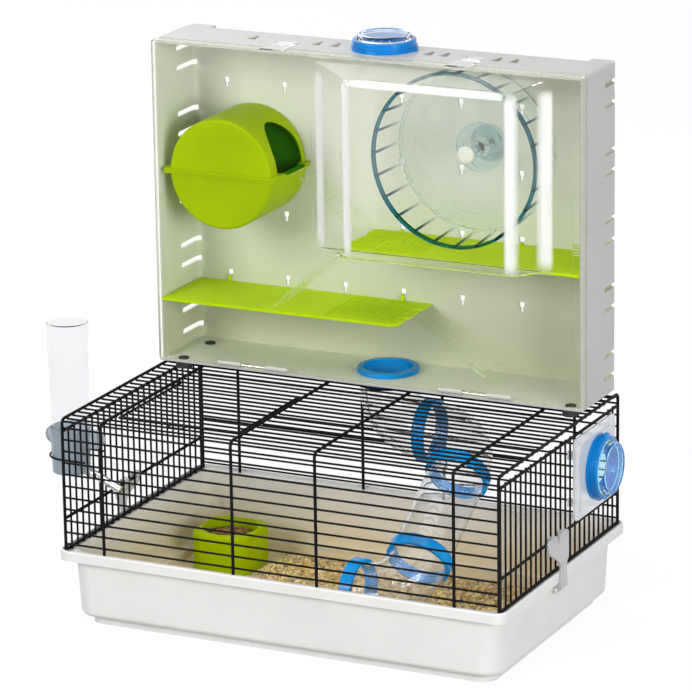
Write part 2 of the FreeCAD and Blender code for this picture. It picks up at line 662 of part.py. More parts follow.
def make_side_clip(side):
    """A springy clip that turns on its pins below the rim and hooks over the middle end bar."""
    half_stem = CLIP_STEM_WIDTH / 2
    half_head = CLIP_HEAD_WIDTH / 2
    bar = END_BAR_LEVELS[1]
    stem_inner = RIM_HALF_X + SEAT_GAP
    stem_outer = stem_inner + CLIP_THICKNESS
    head_inner = WIRE_HALF_X + THICK_WIRE + SEAT_GAP
    head_outer = head_inner + CLIP_THICKNESS
    hook_level = bar + THICK_WIRE + SEAT_GAP
    hook_tip = WIRE_HALF_X - THICK_WIRE - SEAT_GAP
    top = hook_level + CLIP_THICKNESS
    profile = [
        (CLIP_PIVOT_X, CLIP_PIVOT_Z - CLIP_BARREL),
        (CLIP_PIVOT_X + 1.5, CLIP_PIVOT_Z - CLIP_BARREL),
        (stem_outer, CLIP_PIVOT_Z + 2.0),
        (stem_outer, 10.0),
        (stem_outer - 1.2, 14.5),
        (head_outer, 22.0),
        (head_outer, top - 0.6),
        (head_outer - 0.6, top),
        (head_inner, top),
        (head_inner, 21.5),
        (stem_inner - 1.2, 14.0),
        (stem_inner, 9.5),
        (stem_inner, -RIM_DEPTH - 1.0),
        (CLIP_PIVOT_X, -RIM_DEPTH - 2.5),
    ]

    def plate(points, y_range):
        outline = polygon([at(side * px, y_range[0], pz) for px, pz in points])
        return Part.Face(outline).extrude(direction(0, y_range[1] - y_range[0], 0))

    sheet = plate(profile, (CLIP_Y - half_head, CLIP_Y + half_head))
    shapes = [sheet.common(clip_front(side, top))]
    hook = [
        (head_inner, hook_level),
        (head_inner, top),
        (hook_tip - 0.8, top),
        (hook_tip - 1.4, top - 0.6),
        (hook_tip - 1.4, hook_level - 1.2),
        (hook_tip, hook_level - 1.2),
        (hook_tip, hook_level),
    ]
    gap_half = END_WIRE_PITCH / 2 - THIN_WIRE - 1.0
    first_gap = round((CLIP_Y - END_WIRE_FIRST) / END_WIRE_PITCH - 0.5) - 1
    for index in (first_gap, first_gap + 2):
        middle = END_WIRE_FIRST + END_WIRE_PITCH * (index + 0.5)
        shapes.append(plate(hook, (middle - gap_half, middle + gap_half)))
    pivot = side * CLIP_PIVOT_X
    start, end = (pivot, CLIP_Y - half_stem, CLIP_PIVOT_Z), (pivot, CLIP_Y + half_stem, CLIP_PIVOT_Z)
    shapes.append(wire_run(start, end, CLIP_BARREL))
    pin_half = half_stem + SEAT_GAP + CLIP_EAR
    start, end = (pivot, CLIP_Y - pin_half, CLIP_PIVOT_Z), (pivot, CLIP_Y + pin_half, CLIP_PIVOT_Z)
    shapes.append(wire_run(start, end, CLIP_PIN))
    return fused(shapes)


# Upper case


def case_profile(inset, front, low_inset):
    """The case's side outline with its rounded top back edge, drawn in by an inset."""
    top = CASE_TOP - inset
    bottom = CASE_BOTTOM + low_inset
    back = CASE_BACK_Y - inset
    radius = CASE_BACK_ROUND - inset
    left = CASE_LEFT + inset
    turn = math.sqrt(0.5) * radius
    centre_y, centre_z = back - radius, top - radius
    points = [at(left, front, bottom), at(left, back, bottom), at(left, back, centre_z)]
    arc_middle = at(left, centre_y + turn, centre_z + turn)
    arc_end = at(left, centre_y, top)
    edges = [
        Part.LineSegment(points[0], points[1]).toShape(),
        Part.LineSegment(points[1], points[2]).toShape(),
        Part.Arc(points[2], arc_middle, arc_end).toShape(),
        Part.LineSegment(arc_end, at(left, front, top)).toShape(),
        Part.LineSegment(at(left, front, top), points[0]).toShape(),
    ]
    face = Part.Face(Part.Wire(edges))
    return face.extrude(direction(2 * (CASE_HALF_X - inset), 0, 0))


def corner_pads(inset):
    """The square ends that the rounded top back edge keeps at its corners."""
    pads = []
    start = CASE_BACK_Y - CASE_BACK_ROUND - 12.0 + inset
    top = CASE_TOP - CASE_PAD_DROP - inset
    for low in (CASE_LEFT, CASE_RIGHT - CASE_PAD_WIDTH):
        pads.append(
            box(
                (low + inset, low + CASE_PAD_WIDTH - inset),
                (start, CASE_BACK_Y - inset),
                (CASE_TOP - 2 * CASE_BACK_ROUND, top),
            )
        )
    return pads


def top_edge_rounding(side, y_range):
    """What is cut away along a top side edge to round it."""
    edge = CASE_LEFT if side < 0 else CASE_RIGHT
    radius = CASE_EDGE_ROUND
    middle = edge - side * radius
    corner = box(
        sorted((middle, edge + side * 1.0)), y_range, (CASE_TOP - radius, CASE_TOP + 1.0)
    )
    level = CASE_TOP - radius
    return corner.cut(rod(at(middle, y_range[0] - 1.0, level), at(middle, y_range[1] + 1.0, level), radius))


def back_corner_rounding(side, inset):
    """What is cut away along an upright back corner to round it."""
    edge = (CASE_LEFT if side < 0 else CASE_RIGHT) - side * inset
    back = CASE_BACK_Y - inset
    radius = CASE_CORNER_ROUND - inset
    middle = (edge - side * radius, back - radius)
    low, high = CASE_BOTTOM - 1.0, CASE_TOP + 1.0
    corner = box(sorted((middle[0], edge + side * 1.0)), (middle[1], back + 1.0), (low, high))
    return corner.cut(rod(at(*middle, low - 1.0), at(*middle, high + 1.0), radius))


def keyhole(column, level):
    x = KEYHOLE_CENTRE_X + KEYHOLE_PITCH_X * column
    through = (CASE_INNER_BACK - 1.0, CASE_BACK_Y + 1.0)
    half = KEYHOLE_HEIGHT / 2
    wide = box((x - KEYHOLE_WIDE / 2, x + KEYHOLE_WIDE / 2), through, (level, level + half))
    narrow = box((x - KEYHOLE_NARROW / 2, x + KEYHOLE_NARROW / 2), through, (level - half, level))
    return wide.fuse(narrow)


def side_slot(side, level):
    """A slot through a side wall that runs out through the back edge."""
    start = CASE_SPLIT_Y + (SIDE_SLOT_START[0] if side < 0 else SIDE_SLOT_START[1])
    edge = CASE_LEFT if side < 0 else CASE_RIGHT
    half = SIDE_SLOT_HEIGHT / 2
    x_range = sorted((edge + side * 1.0, edge - side * SIDE_SLOT_DEPTH))
    run = box(x_range, (start + half, CASE_BACK_Y + 1.0), (level - half, level + half))
    tip = rod(at(x_range[0], start + half, level), at(x_range[1], start + half, level), half)
    return run.fuse(tip)


def top_vent(x):
    """A scoop-shaped opening in the case top, narrow at its back."""
    front, back = TOP_VENT_Y
    half = TOP_VENT_WIDTH / 2
    outline = polygon(
        [
            at(x - half, front, CASE_TOP - 4.0),
            at(x + half, front, CASE_TOP - 4.0),
            at(x + half / 3, back, CASE_TOP - 4.0),
            at(x - half / 3, back, CASE_TOP - 4.0),
        ]
    )
    return slab(outline, 6.0)


def latch_seat(x):
    """The boxed pocket in the case top that one latch turns in."""
    half = LATCH_WIDTH / 2
    front, back = LATCH_POCKET
    low = CASE_TOP - LATCH_POCKET_DEPTH
    block = box(
        (x - half - 2.8, x + half + 2.8), (front - 2.0, back + 2.0), (low - 1.8, CASE_TOP)
    )
    pocket = box((x - half - 0.4, x + half + 0.4), (front, back), (low, CASE_TOP + 1.0))
    hole = rod(
        at(x - half - 3.0, LATCH_AXIS_Y, CASE_TOP - LATCH_BARREL),
        at(x + half + 3.0, LATCH_AXIS_Y, CASE_TOP - LATCH_BARREL),
        LATCH_PIN + HINGE_CLEARANCE,
    )
    return block, pocket, hole


def hinge_spans(x):
    """The shell's two knuckles and the cover's one along a hinge strip."""
    half = HINGE_STRIP_LENGTH / 2
    middle = half / 3
    shell = [(x - half, x - middle - KNUCKLE_GAP), (x + middle + KNUCKLE_GAP, x + half)]
    return shell, (x - middle, x + middle)


def knuckle(span):
    return rod(
        at(span[0], COVER_HINGE_Y, COVER_HINGE_Z), at(span[1], COVER_HINGE_Y, COVER_HINGE_Z), KNUCKLE_RADIUS
    )


def hinge_bore(span):
    return rod(
        at(span[0] - 1.0, COVER_HINGE_Y, COVER_HINGE_Z),
        at(span[1] + 1.0, COVER_HINGE_Y, COVER_HINGE_Z),
        HINGE_PIN + HINGE_CLEARANCE,
    )


def make_rear_shell():
    inset = CASE_WALL
    outer = fused([case_profile(0.0, CASE_SPLIT_Y, 0.0)] + corner_pads(0.0))
    inner = fused([case_profile(inset, CASE_SPLIT_Y - 1.0, inset)] + corner_pads(inset))
    for side in (-1, 1):
        outer = outer.cut(back_corner_rounding(side, 0.0))
        outer = outer.cut(top_edge_rounding(side, (CASE_SPLIT_Y - 1.0, CASE_BACK_Y + 1.0)))
        inner = inner.cut(back_corner_rounding(side, inset))
    floor = box(
        (CASE_LEFT, CASE_RIGHT), (COVER_HINGE_Y + 0.2, CASE_SPLIT_Y + 1.0), (CASE_BOTTOM, CASE_FLOOR_TOP)
    )
    lip_in = COVER_WALL + SEAT_GAP
    lip = box(
        (CASE_LEFT + lip_in, CASE_RIGHT - lip_in),
        (CASE_SPLIT_Y - COVER_LIP_REACH, CASE_SPLIT_Y + 3.0),
        (CASE_FLOOR_TOP - 0.5, CASE_TOP - lip_in),
    )
    lip = lip.cut(
        box(
            (CASE_LEFT + lip_in + COVER_LIP, CASE_RIGHT - lip_in - COVER_LIP),
            (CASE_SPLIT_Y - COVER_LIP_REACH - 1.0, CASE_SPLIT_Y + 4.0),
            (CASE_BOTTOM - 1.0, CASE_TOP - lip_in - COVER_LIP),
        )
    )
    parts = [outer.cut(inner), floor, lip]
    cuts = []
    for x in LATCH_X:
        block, pocket, hole = latch_seat(x)
        parts.append(block)
        cuts += [pocket, hole]
    for x in HINGE_STRIP_X:
        for span in hinge_spans(x)[0]:
            parts.append(knuckle(span))
            parts.append(
                box(
                    span,
                    (COVER_HINGE_Y + 0.2, COVER_HINGE_Y + KNUCKLE_RADIUS),
                    (CASE_FLOOR_TOP - 0.5, COVER_HINGE_Z),
                )
            )
            cuts.append(hinge_bore(span))
    cuts += [keyhole(column, level) for column in range(-3, 4) for level in KEYHOLE_LEVELS]
    cuts += [side_slot(side, level) for side in (-1, 1) for level in SIDE_SLOT_LEVELS]
    latched = [x for x in TOP_VENT_X if min(abs(x - latch) for latch in LATCH_X) > LATCH_WIDTH]
    cuts += [top_vent(x) for x in latched]
    for x in FOOT_X:
        for y in FOOT_Y:
            cuts.append(
                Part.makeCylinder(FOOT_STEM + 0.1, CASE_WALL + 2.0, at(x, y, CASE_BOTTOM - 1.0))
            )
    hole_radius = RING_SLEEVE + 0.2
    seat_level = CASE_TOP - PORT_SEAT_HEIGHT
    parts.append(Part.makeCylinder(COUPLING_RADIUS, PORT_SEAT_HEIGHT, at(PORT_X, PORT_Y, seat_level)))
    cuts.append(Part.makeCylinder(hole_radius, PORT_SEAT_HEIGHT + 4.0, at(PORT_X, PORT_Y, seat_level - 2.0)))
    cuts.append(Part.makeCylinder(hole_radius, CASE_WALL + 2.0, at(PORT_X, PORT_Y, CASE_BOTTOM - 1.0)))
    screw_hole = (at(WHEEL_X, CASE_INNER_BACK - 1.0, WHEEL_Z), at(WHEEL_X, CASE_BACK_Y + 1.0, WHEEL_Z))
    cuts.append(rod(screw_hole[0], screw_hole[1], SCREW_RADIUS + 0.2))
    return fused(parts).cut(Part.makeCompound(cuts)).removeSplitter()


def make_case_feet():
    """Four plugs through the case floor that stand on the roof wires."""
    feet = []
    low = ROOF_THIN_LEVEL + THIN_WIRE + SEAT_GAP
    for x in FOOT_X:
        for y in FOOT_Y:
            under = Part.makeCylinder(FOOT_RADIUS, CASE_BOTTOM - low, at(x, y, low))
            stem = Part.makeCylinder(FOOT_STEM, CASE_WALL + 1.0, at(x, y, CASE_BOTTOM - 0.5))
            head = Part.makeCylinder(FOOT_HEAD, 1.6, at(x, y, CASE_FLOOR_TOP))
            feet.append(fused([under, stem, head]))
    return Part.makeCompound(feet)


def port_ring(centre, axis, wall, height, sleeve):
    """A collar whose flange stands on a wall and whose sleeve goes through it."""
    flange = ring(centre, axis, RING_FLANGE, RING_BORE, height)
    flange = flange.makeFillet(
        1.4, [edge for edge in flange.Edges if abs(edge.Length - 2 * math.pi * RING_FLANGE) < 0.5][:2]
    )
    back = centre - axis * (wall + sleeve)
    tube = ring(back, axis, RING_SLEEVE, RING_BORE, wall + sleeve + 1.0)
    return fused([flange, tube])


def make_floor_port_ring():
    return port_ring(
        at(PORT_X, PORT_Y, CASE_FLOOR_TOP), direction(0, 0, 1), CASE_WALL, 5.0, 9.0
    )


def eared_port_ring(centre, axis, across, wall, ear_rises):
    """A taller collar with a step at its foot and a finger ear on each side."""
    base = port_ring(centre, axis, wall, TOP_RING_HEIGHT, 5.0)
    step = ring(centre, axis, COUPLING_RADIUS, RING_BORE, PORT_STEP_HEIGHT)
    shapes = [base, step]
    for side, rise in zip((-1, 1), ear_rises):
        foot = centre + axis * rise
        ear = Part.makeCylinder(5.0, 2.6, foot + across * (side * (RING_EAR - 5.0)), axis)
        shapes.append(ear.cut(Part.makeCylinder(RING_FLANGE - 1.0, 2.6, foot, axis)))
    return fused(shapes)


def make_top_port_ring():
    return eared_port_ring(
        at(PORT_X, PORT_Y, CASE_TOP), direction(0, 0, 1), direction(1, 0, 0), CASE_WALL, (0.0, 0.0)
    )


def port_cap(centre, axis, across, rise):
    """A clear plug: a ribbed, narrowing collar with a dished lid, and a skirt inside the ring's bore."""
    seat = centre + axis * (TOP_RING_HEIGHT + 0.1)
    lid = Part.makeCone(CAP_BASE, CAP_TOP, rise, seat, axis)
    rim = [edge for edge in lid.Edges if abs(edge.Length - 2 * math.pi * CAP_TOP) < 0.5]
    lid = lid.makeFillet(0.9, rim)
    hollow_radius = min(RING_BORE - 1.6, CAP_TOP - 1.6)
    hollow = Part.makeCylinder(hollow_radius, rise - 1.5, seat - axis * 0.1, axis)
    dish = Part.makeCone(CAP_TOP - 4.0, CAP_TOP - 2.6, 0.8, seat + axis * (rise - 0.8), axis)
    skirt = ring(seat - axis * 8.0, axis, RING_BORE - 0.15, RING_BORE - 1.6, 8.5)
    shapes = [lid.cut(hollow).cut(dish), skirt]
    tooth_height = rise - 2.0
    lean = (CAP_BASE - CAP_TOP) * tooth_height / rise
    tooth = polygon(
        [
            direction(CAP_BASE - 1.0, -1.0, 0.3),
            direction(CAP_BASE + 0.7, -1.0, 0.3),
            direction(CAP_BASE - lean + 0.7, -1.0, tooth_height),
            direction(CAP_BASE - lean - 1.0, -1.0, tooth_height),
        ]
    )
    tooth = Part.Face(tooth).extrude(direction(0, 2.0, 0))
    tooth.Placement = FreeCAD.Placement(
        centre + axis * (TOP_RING_HEIGHT + 0.1), FreeCAD.Rotation(across, axis.cross(across), axis)
    )
    for index in range(CAP_TEETH):
        turned = tooth.copy()
        turned.rotate(centre, axis, 360.0 * index / CAP_TEETH)
        shapes.append(turned)
    return fused(shapes)


def make_front_cover():
    outer_x = (CASE_LEFT, CASE_RIGHT)
    bottom = COVER_HINGE_Z - 1.4
    plate = box(outer_x, (CASE_FRONT_Y, CASE_FRONT_Y + COVER_WALL), (bottom, CASE_TOP))
    flange_y = (CASE_FRONT_Y, CASE_SPLIT_Y - SEAT_GAP)
    parts = [
        plate,
        box((CASE_LEFT, CASE_LEFT + COVER_WALL), flange_y, (bottom, CASE_TOP)),
        box((CASE_RIGHT - COVER_WALL, CASE_RIGHT), flange_y, (bottom, CASE_TOP)),
        box(outer_x, flange_y, (CASE_TOP - COVER_WALL, CASE_TOP)),
    ]
    shell = fused(parts)
    front_edges = [
        edge
        for edge in shell.Edges
        if edge.BoundBox.YMax < CASE_FRONT_Y + 0.01
        and (edge.BoundBox.XLength < 0.01 or edge.BoundBox.ZMin > CASE_TOP + RIM - 0.01)
    ]
    shell = shell.makeFillet(1.8, front_edges)
    for side in (-1, 1):
        shell = shell.cut(top_edge_rounding(side, (CASE_FRONT_Y - 1.0, CASE_SPLIT_Y + 1.0)))
    bulge, hollow = bulge_solids()
    shell = shell.fuse(bulge).cut(hollow)
    additions = []
    cuts = []
    for x in HINGE_STRIP_X:
        shell_spans, cover_span = hinge_spans(x)
        additions.append(knuckle(cover_span))
        cuts.append(hinge_bore(cover_span))
        for span in shell_spans:
            cuts.append(
                box(
                    (span[0] - KNUCKLE_GAP, span[1] + KNUCKLE_GAP),
                    (CASE_FRONT_Y - 1.0, CASE_FRONT_Y + COVER_WALL + 1.0),
                    (bottom - 1.0, COVER_HINGE_Z + KNUCKLE_RADIUS + 0.3),
                )
            )
    cover = fused([shell] + additions + grip_ribs())
    return cover.cut(Part.makeCompound(cuts)).removeSplitter()


def bulge_rectangle(margins, top_gap):
    """Left, right, lower and upper edge round the wheel."""
    return (
        WHEEL_X - WHEEL_RADIUS - margins[0],
        WHEEL_X + WHEEL_RADIUS + margins[1],
        WHEEL_Z - WHEEL_RADIUS - margins[2],
        CASE_TOP - top_gap,
    )


def bulge_sections():
    """Four rectangles from the base to the face, with a shallow band at each bend."""
    base = bulge_rectangle(BULGE_BASE_MARGINS, BULGE_TOP_GAPS[0])
    face = bulge_rectangle(BULGE_FACE_MARGINS, BULGE_TOP_GAPS[1])
    outward = (-1, 1, -1, 1)
    sections = []
    for start, other, step in ((base, face, 1), (base, face, -1), (face, base, 1), (face, base, -1)):
        edges = []
        for edge, far, sign in zip(start, other, outward):
            run = abs(edge - far)
            reach = BULGE_BAND if (start is face) == (step < 0) else min(BULGE_BAND, run / 4)
            edges.append(edge + sign * step * reach)
        sections.append(edges)
    sections[0][3] = min(sections[0][3], CASE_TOP - BULGE_TOP_GAPS[0])
    sections[0][1] = min(sections[0][1], CASE_RIGHT - GRIP_WIDTH - 2.0)
    depths = (0.0, -BULGE_BAND_DEPTH, BULGE_BAND_DEPTH - BULGE_DEPTH, -BULGE_DEPTH)
    return [(edges, CASE_FRONT_Y + depth) for edges, depth in zip(sections, depths)]


def stacked_rectangles(sections):
    """A block with sloping sides through a run of upright rectangles."""
    wires = []
    for (x0, x1, z0, z1), y in sections:
        wires.append(polygon([at(x0, y, z0), at(x1, y, z0), at(x1, y, z1), at(x0, y, z1)]))
    return Part.makeLoft(wires, True, True)


def bulge_solids():
    """The bulge's outer block and the hollow inside it."""
    sections = bulge_sections()
    edges, level = sections[0]
    outer = stacked_rectangles([(edges, level + COVER_WALL / 2)] + sections)
    shrink = (0.6, 0.6, 1.5, 0.9)
    inward = (1, -1, 1, -1)
    hollow = []
    for edges, level in sections:
        drawn = [edge + sign * share * BULGE_WALL / 1.6 for edge, sign, share in zip(edges, inward, shrink)]
        hollow.append((drawn, level + BULGE_WALL))
    back = (hollow[0][0], CASE_FRONT_Y + COVER_WALL + 1.0)
    return outer, stacked_rectangles([back] + hollow)


def grip_ribs():
    """Saw-tooth strips on the cover's two upright edges."""
    low, high = GRIP_LEVELS
    count = int((high - low) / GRIP_PITCH)
    strips = []
    for side in (-1, 1):
        edge = CASE_LEFT if side < 0 else CASE_RIGHT
        inner = edge - side * GRIP_WIDTH
        surface = CASE_FRONT_Y
        points = [at(edge - side * 1.5, surface + 0.5, low)]
        for index in range(count):
            start = low + GRIP_PITCH * index
            points.append(at(edge - side * 1.5, surface, start))
            points.append(at(edge - side * 1.5, surface - GRIP_HEIGHT, start + GRIP_PITCH / 2))
        points.append(at(edge - side * 1.5, surface, low + GRIP_PITCH * count))
        points.append(at(edge - side * 1.5, surface + 0.5, low + GRIP_PITCH * count))
        face = Part.Face(polygon(points))
        strips.append(face.extrude(direction(inner - (edge - side * 1.5), 0, 0)))
    return strips


def make_cover_hinge_pins():
    pins = []
    half = HINGE_STRIP_LENGTH / 2
    for x in HINGE_STRIP_X:
        pins.append(
            rod(
                at(x - half, COVER_HINGE_Y, COVER_HINGE_Z),
                at(x + half, COVER_HINGE_Y, COVER_HINGE_Z),
                HINGE_PIN,
            )
        )
    return Part.makeCompound(pins)


def make_cover_latch(x):
    """A clear lever that turns in its pocket and drops over the cover's top front edge."""
    half = LATCH_WIDTH / 2
    axis_z = CASE_TOP - LATCH_BARREL
    low = CASE_TOP + 0.2
    high = low + LATCH_THICKNESS
    front = CASE_FRONT_Y - SEAT_GAP
    profile = [
        (LATCH_AXIS_Y, axis_z),
        (LATCH_AXIS_Y, high),
        (front - LATCH_THICKNESS, high),
        (front - LATCH_THICKNESS, CASE_TOP - 1.7),
        (front, CASE_TOP - 1.7),
        (front, low),
        (LATCH_AXIS_Y - LATCH_BARREL, low),
        (LATCH_AXIS_Y - LATCH_BARREL, axis_z),
    ]
    outline = polygon([at(x - half, y, z) for y, z in profile])
    arm = Part.Face(outline).extrude(direction(LATCH_WIDTH, 0, 0))
    barrel = rod(at(x - half, LATCH_AXIS_Y, axis_z), at(x + half, LATCH_AXIS_Y, axis_z), LATCH_BARREL)
    bore = rod(
        at(x - half - 1.0, LATCH_AXIS_Y, axis_z),
        at(x + half + 1.0, LATCH_AXIS_Y, axis_z),
        LATCH_PIN + HINGE_CLEARANCE,
    )
    return fused([arm, barrel]).cut(bore)


def make_latch_pins():
    reach = LATCH_WIDTH / 2 + 2.8
    axis_z = CASE_TOP - LATCH_BARREL
    return Part.makeCompound(
        [
            rod(at(x - reach, LATCH_AXIS_Y, axis_z), at(x + reach, LATCH_AXIS_Y, axis_z), LATCH_PIN)
            for x in LATCH_X
        ]
    )


# Inside the case


def make_shelf(x_range, top, free_end, columns, level):
    """A flat shelf with a ridged free end and hooks that enter the back wall's keyholes."""
    back = CASE_INNER_BACK - SHELF_BACK_GAP
    low, high = x_range
    bevel = 6.0
    corner = 0.6 * (CASE_CORNER_ROUND - CASE_WALL)
    end = high if free_end > 0 else low
    other = low if free_end > 0 else high
    corners = [
        (other, SHELF_FRONT_Y),
        (end - free_end * bevel, SHELF_FRONT_Y),
        (end, SHELF_FRONT_Y + bevel),
        (end, back),
        (other + free_end * corner, back),
        (other, back - corner),
    ]
    outline = polygon([at(x, y, top - SHELF_THICKNESS) for x, y in corners])
    shapes = [slab(outline, SHELF_THICKNESS)]
    count = int(SHELF_RIDGE_ZONE / SHELF_RIDGE_PITCH)
    for index in range(count):
        x = end - free_end * (8.0 + SHELF_RIDGE_PITCH * index)
        shapes.append(
            box(
                (x - SHELF_RIDGE_WIDTH / 2, x + SHELF_RIDGE_WIDTH / 2),
                (SHELF_FRONT_Y + 8.0, back - 6.0),
                (top - 0.5, top + SHELF_RIDGE_HEIGHT),
            )
        )
    notch_x = tuple(sorted((end - free_end * 5.0, end + free_end)))
    shelf = fused(shapes)
    for y in (SHELF_FRONT_Y + 24.0, back - 26.0):
        shelf = shelf.cut(box(notch_x, (y - 4.0, y + 4.0), (top - 4.0, top + 2.0)))
    hooks = []
    half = KEYHOLE_NARROW / 2 - 0.3
    for column in columns:
        x = KEYHOLE_CENTRE_X + KEYHOLE_PITCH_X * column
        hooks.append(box((x - half, x + half), (back - 3.0, back), (top - 0.5, level - 0.8)))
        hooks.append(box((x - half, x + half), (back - 1.0, CASE_BACK_Y), (level - 3.8, level - 0.8)))
    return fused([shelf] + hooks)


def house_half(upper):
    """Half of the round nest house, with its flange and either its entrance or its hooks."""
    sign = 1 if upper else -1
    front = HOUSE_FRONT_Y
    back = CASE_INNER_BACK - SHELF_BACK_GAP
    split = HOUSE_Z + (0.1 if upper else -0.1)
    half_space = box(
        (HOUSE_X - 80.0, HOUSE_X + 80.0),
        (front - 10.0, back + 10.0),
        (split, split + 80.0) if upper else (split - 80.0, split),
    )
    outer = rod(at(HOUSE_X, front, HOUSE_Z), at(HOUSE_X, back - 1.0, HOUSE_Z), HOUSE_RADIUS)
    rims = [edge for edge in outer.Edges if edge.BoundBox.YMax < front + 0.01 and edge.Length > 10]
    outer = outer.makeFillet(3.0, rims)
    inner = rod(
        at(HOUSE_X, front + HOUSE_WALL, HOUSE_Z),
        at(HOUSE_X, back - 1.0 - HOUSE_WALL, HOUSE_Z),
        HOUSE_RADIUS - HOUSE_WALL,
    )
    shell = outer.cut(inner).common(half_space)
    flange_z = (split, split + HOUSE_FLANGE_THICKNESS) if upper else (split - HOUSE_FLANGE_THICKNESS, split)
    reach = HOUSE_RADIUS + HOUSE_FLANGE
    lip_y = front - HOUSE_FLANGE + 2.0
    flange = box((HOUSE_X - reach, HOUSE_X + reach), (lip_y, back - 1.0), flange_z)
    corners = [edge for edge in flange.Edges if edge.BoundBox.YMax < lip_y + 0.01 and edge.BoundBox.ZLength > 1.0]
    flange = flange.makeFillet(HOUSE_FLANGE_ROUND, corners)
    flange = flange.cut(
        box(
            (HOUSE_X - HOUSE_RADIUS + 1.0, HOUSE_X + HOUSE_RADIUS - 1.0),
            (front + 1.0, back - 2.0),
            (flange_z[0] - 1.0, flange_z[1] + 1.0),
        )
    )
    shapes = [shell, flange]
    if not upper:
        half = KEYHOLE_NARROW / 2 - 0.3
        level = KEYHOLE_LEVELS[2]
        for column in (-3, -2):
            x = KEYHOLE_CENTRE_X + KEYHOLE_PITCH_X * column
            root = (HOUSE_Z - 0.4 * HOUSE_RADIUS, HOUSE_Z - 0.3)
            shapes.append(box((x - 4.0, x + 4.0), (back - 1.5, back), root))
            tab_y = (back - HOUSE_TAB, back)
            shapes.append(box((x - 4.0, x + 4.0), tab_y, (root[0], level - 0.8)))
            shapes.append(box((x - half, x + half), (back - HOUSE_TAB, CASE_BACK_Y), (level - 3.8, level - 0.8)))
        return fused(shapes)
    middle = (ENTRANCE_Y[0] + ENTRANCE_Y[1]) / 2
    radius = (ENTRANCE_Y[1] - ENTRANCE_Y[0]) / 2
    low = flange_z[1]
    arch_level = HOUSE_Z + ENTRANCE_TOP - radius
    reach_x = (HOUSE_X + 12.0, HOUSE_X + HOUSE_RADIUS + 20.0)
    door = box(reach_x, ENTRANCE_Y, (low, arch_level))
    arch = rod(at(reach_x[0], middle, arch_level), at(reach_x[1], middle, arch_level), radius)
    return fused(shapes).cut(door.fuse(arch)).removeSplitter()


def make_ramp(start, end, y_range):
    """A clear ribbed plate between two points, each given as X and level."""
    run = math.hypot(end[0] - start[0], end[1] - start[1])
    width = y_range[1] - y_range[0]
    plate = Part.makeBox(run, width, RAMP_THICKNESS, direction(0, 0, -RAMP_THICKNESS))
    shapes = [plate]
    for y in (0.0, width - 1.4):
        shapes.append(Part.makeBox(run, 1.4, RAMP_LIP, direction(0, y, -RAMP_THICKNESS)))
    count = int(run / RAMP_RIDGE_PITCH)
    for index in range(1, count):
        shapes.append(
            Part.makeBox(1.4, width, 0.8 + 0.3, direction(RAMP_RIDGE_PITCH * index, 0, -0.3))
        )
    ramp = fused(shapes)
    if end[0] < start[0]:
        ramp = ramp.mirror(direction(0, 0, 0), direction(1, 0, 0))
    slope = math.degrees(math.atan2(start[1] - end[1], abs(end[0] - start[0])))
    ramp.rotate(direction(0, 0, 0), direction(0, 1, 0), slope if end[0] > start[0] else -slope)
    ramp.translate(at(start[0], y_range[0], start[1]))
    return ramp


def make_house_ramp():
    start = (HOUSE_X + HOUSE_RADIUS + HOUSE_FLANGE + RAMP_END_GAP, HOUSE_Z - 0.2)
    end = (RIGHT_SHELF_X[0] - 0.6, RIGHT_SHELF_TOP + 2.4)
    return make_ramp(start, end, (CASE_BACK_Y - 42.5, CASE_BACK_Y - 6.5))


def make_middle_ramp():
    start = (RIGHT_SHELF_X[0] - 0.8, RIGHT_SHELF_TOP - 3.6)
    end = (start[0] - 74.2, LEFT_SHELF_TOP + 2.3)
    return make_ramp(start, end, (CASE_FRONT_Y + 5.0, CASE_BACK_Y - 8.5))


def make_lower_ramp():
    start = (LEFT_SHELF_X[1] + RAMP_END_GAP, LEFT_SHELF_TOP)
    end = (start[0] + 83.1, CASE_FLOOR_TOP + 2.4)
    return make_ramp(start, end, (CASE_BACK_Y - 49.5, CASE_BACK_Y - 5.5))


def make_wheel_bracket():
    """The wheel's stand: a foot on the back wall, a boss and a disc behind the wheel."""
    back = CASE_INNER_BACK - 0.2
    disc_y = WHEEL_FRONT_Y + WHEEL_DEPTH + 3.0
    foot = rod(at(WHEEL_X, back - 3.0, WHEEL_Z), at(WHEEL_X, back, WHEEL_Z), BRACKET_FOOT)
    boss = rod(at(WHEEL_X, disc_y + 2.0, WHEEL_Z), at(WHEEL_X, back, WHEEL_Z), BRACKET_BOSS)
    disc = rod(at(WHEEL_X, disc_y, WHEEL_Z), at(WHEEL_X, disc_y + 2.5, WHEEL_Z), BRACKET_DISC)
    bore = rod(
        at(WHEEL_X, back - SCREW_LENGTH, WHEEL_Z), at(WHEEL_X, back + 1.0, WHEEL_Z), SCREW_RADIUS + 0.05
    )
    return fused([foot, boss, disc]).cut(bore)


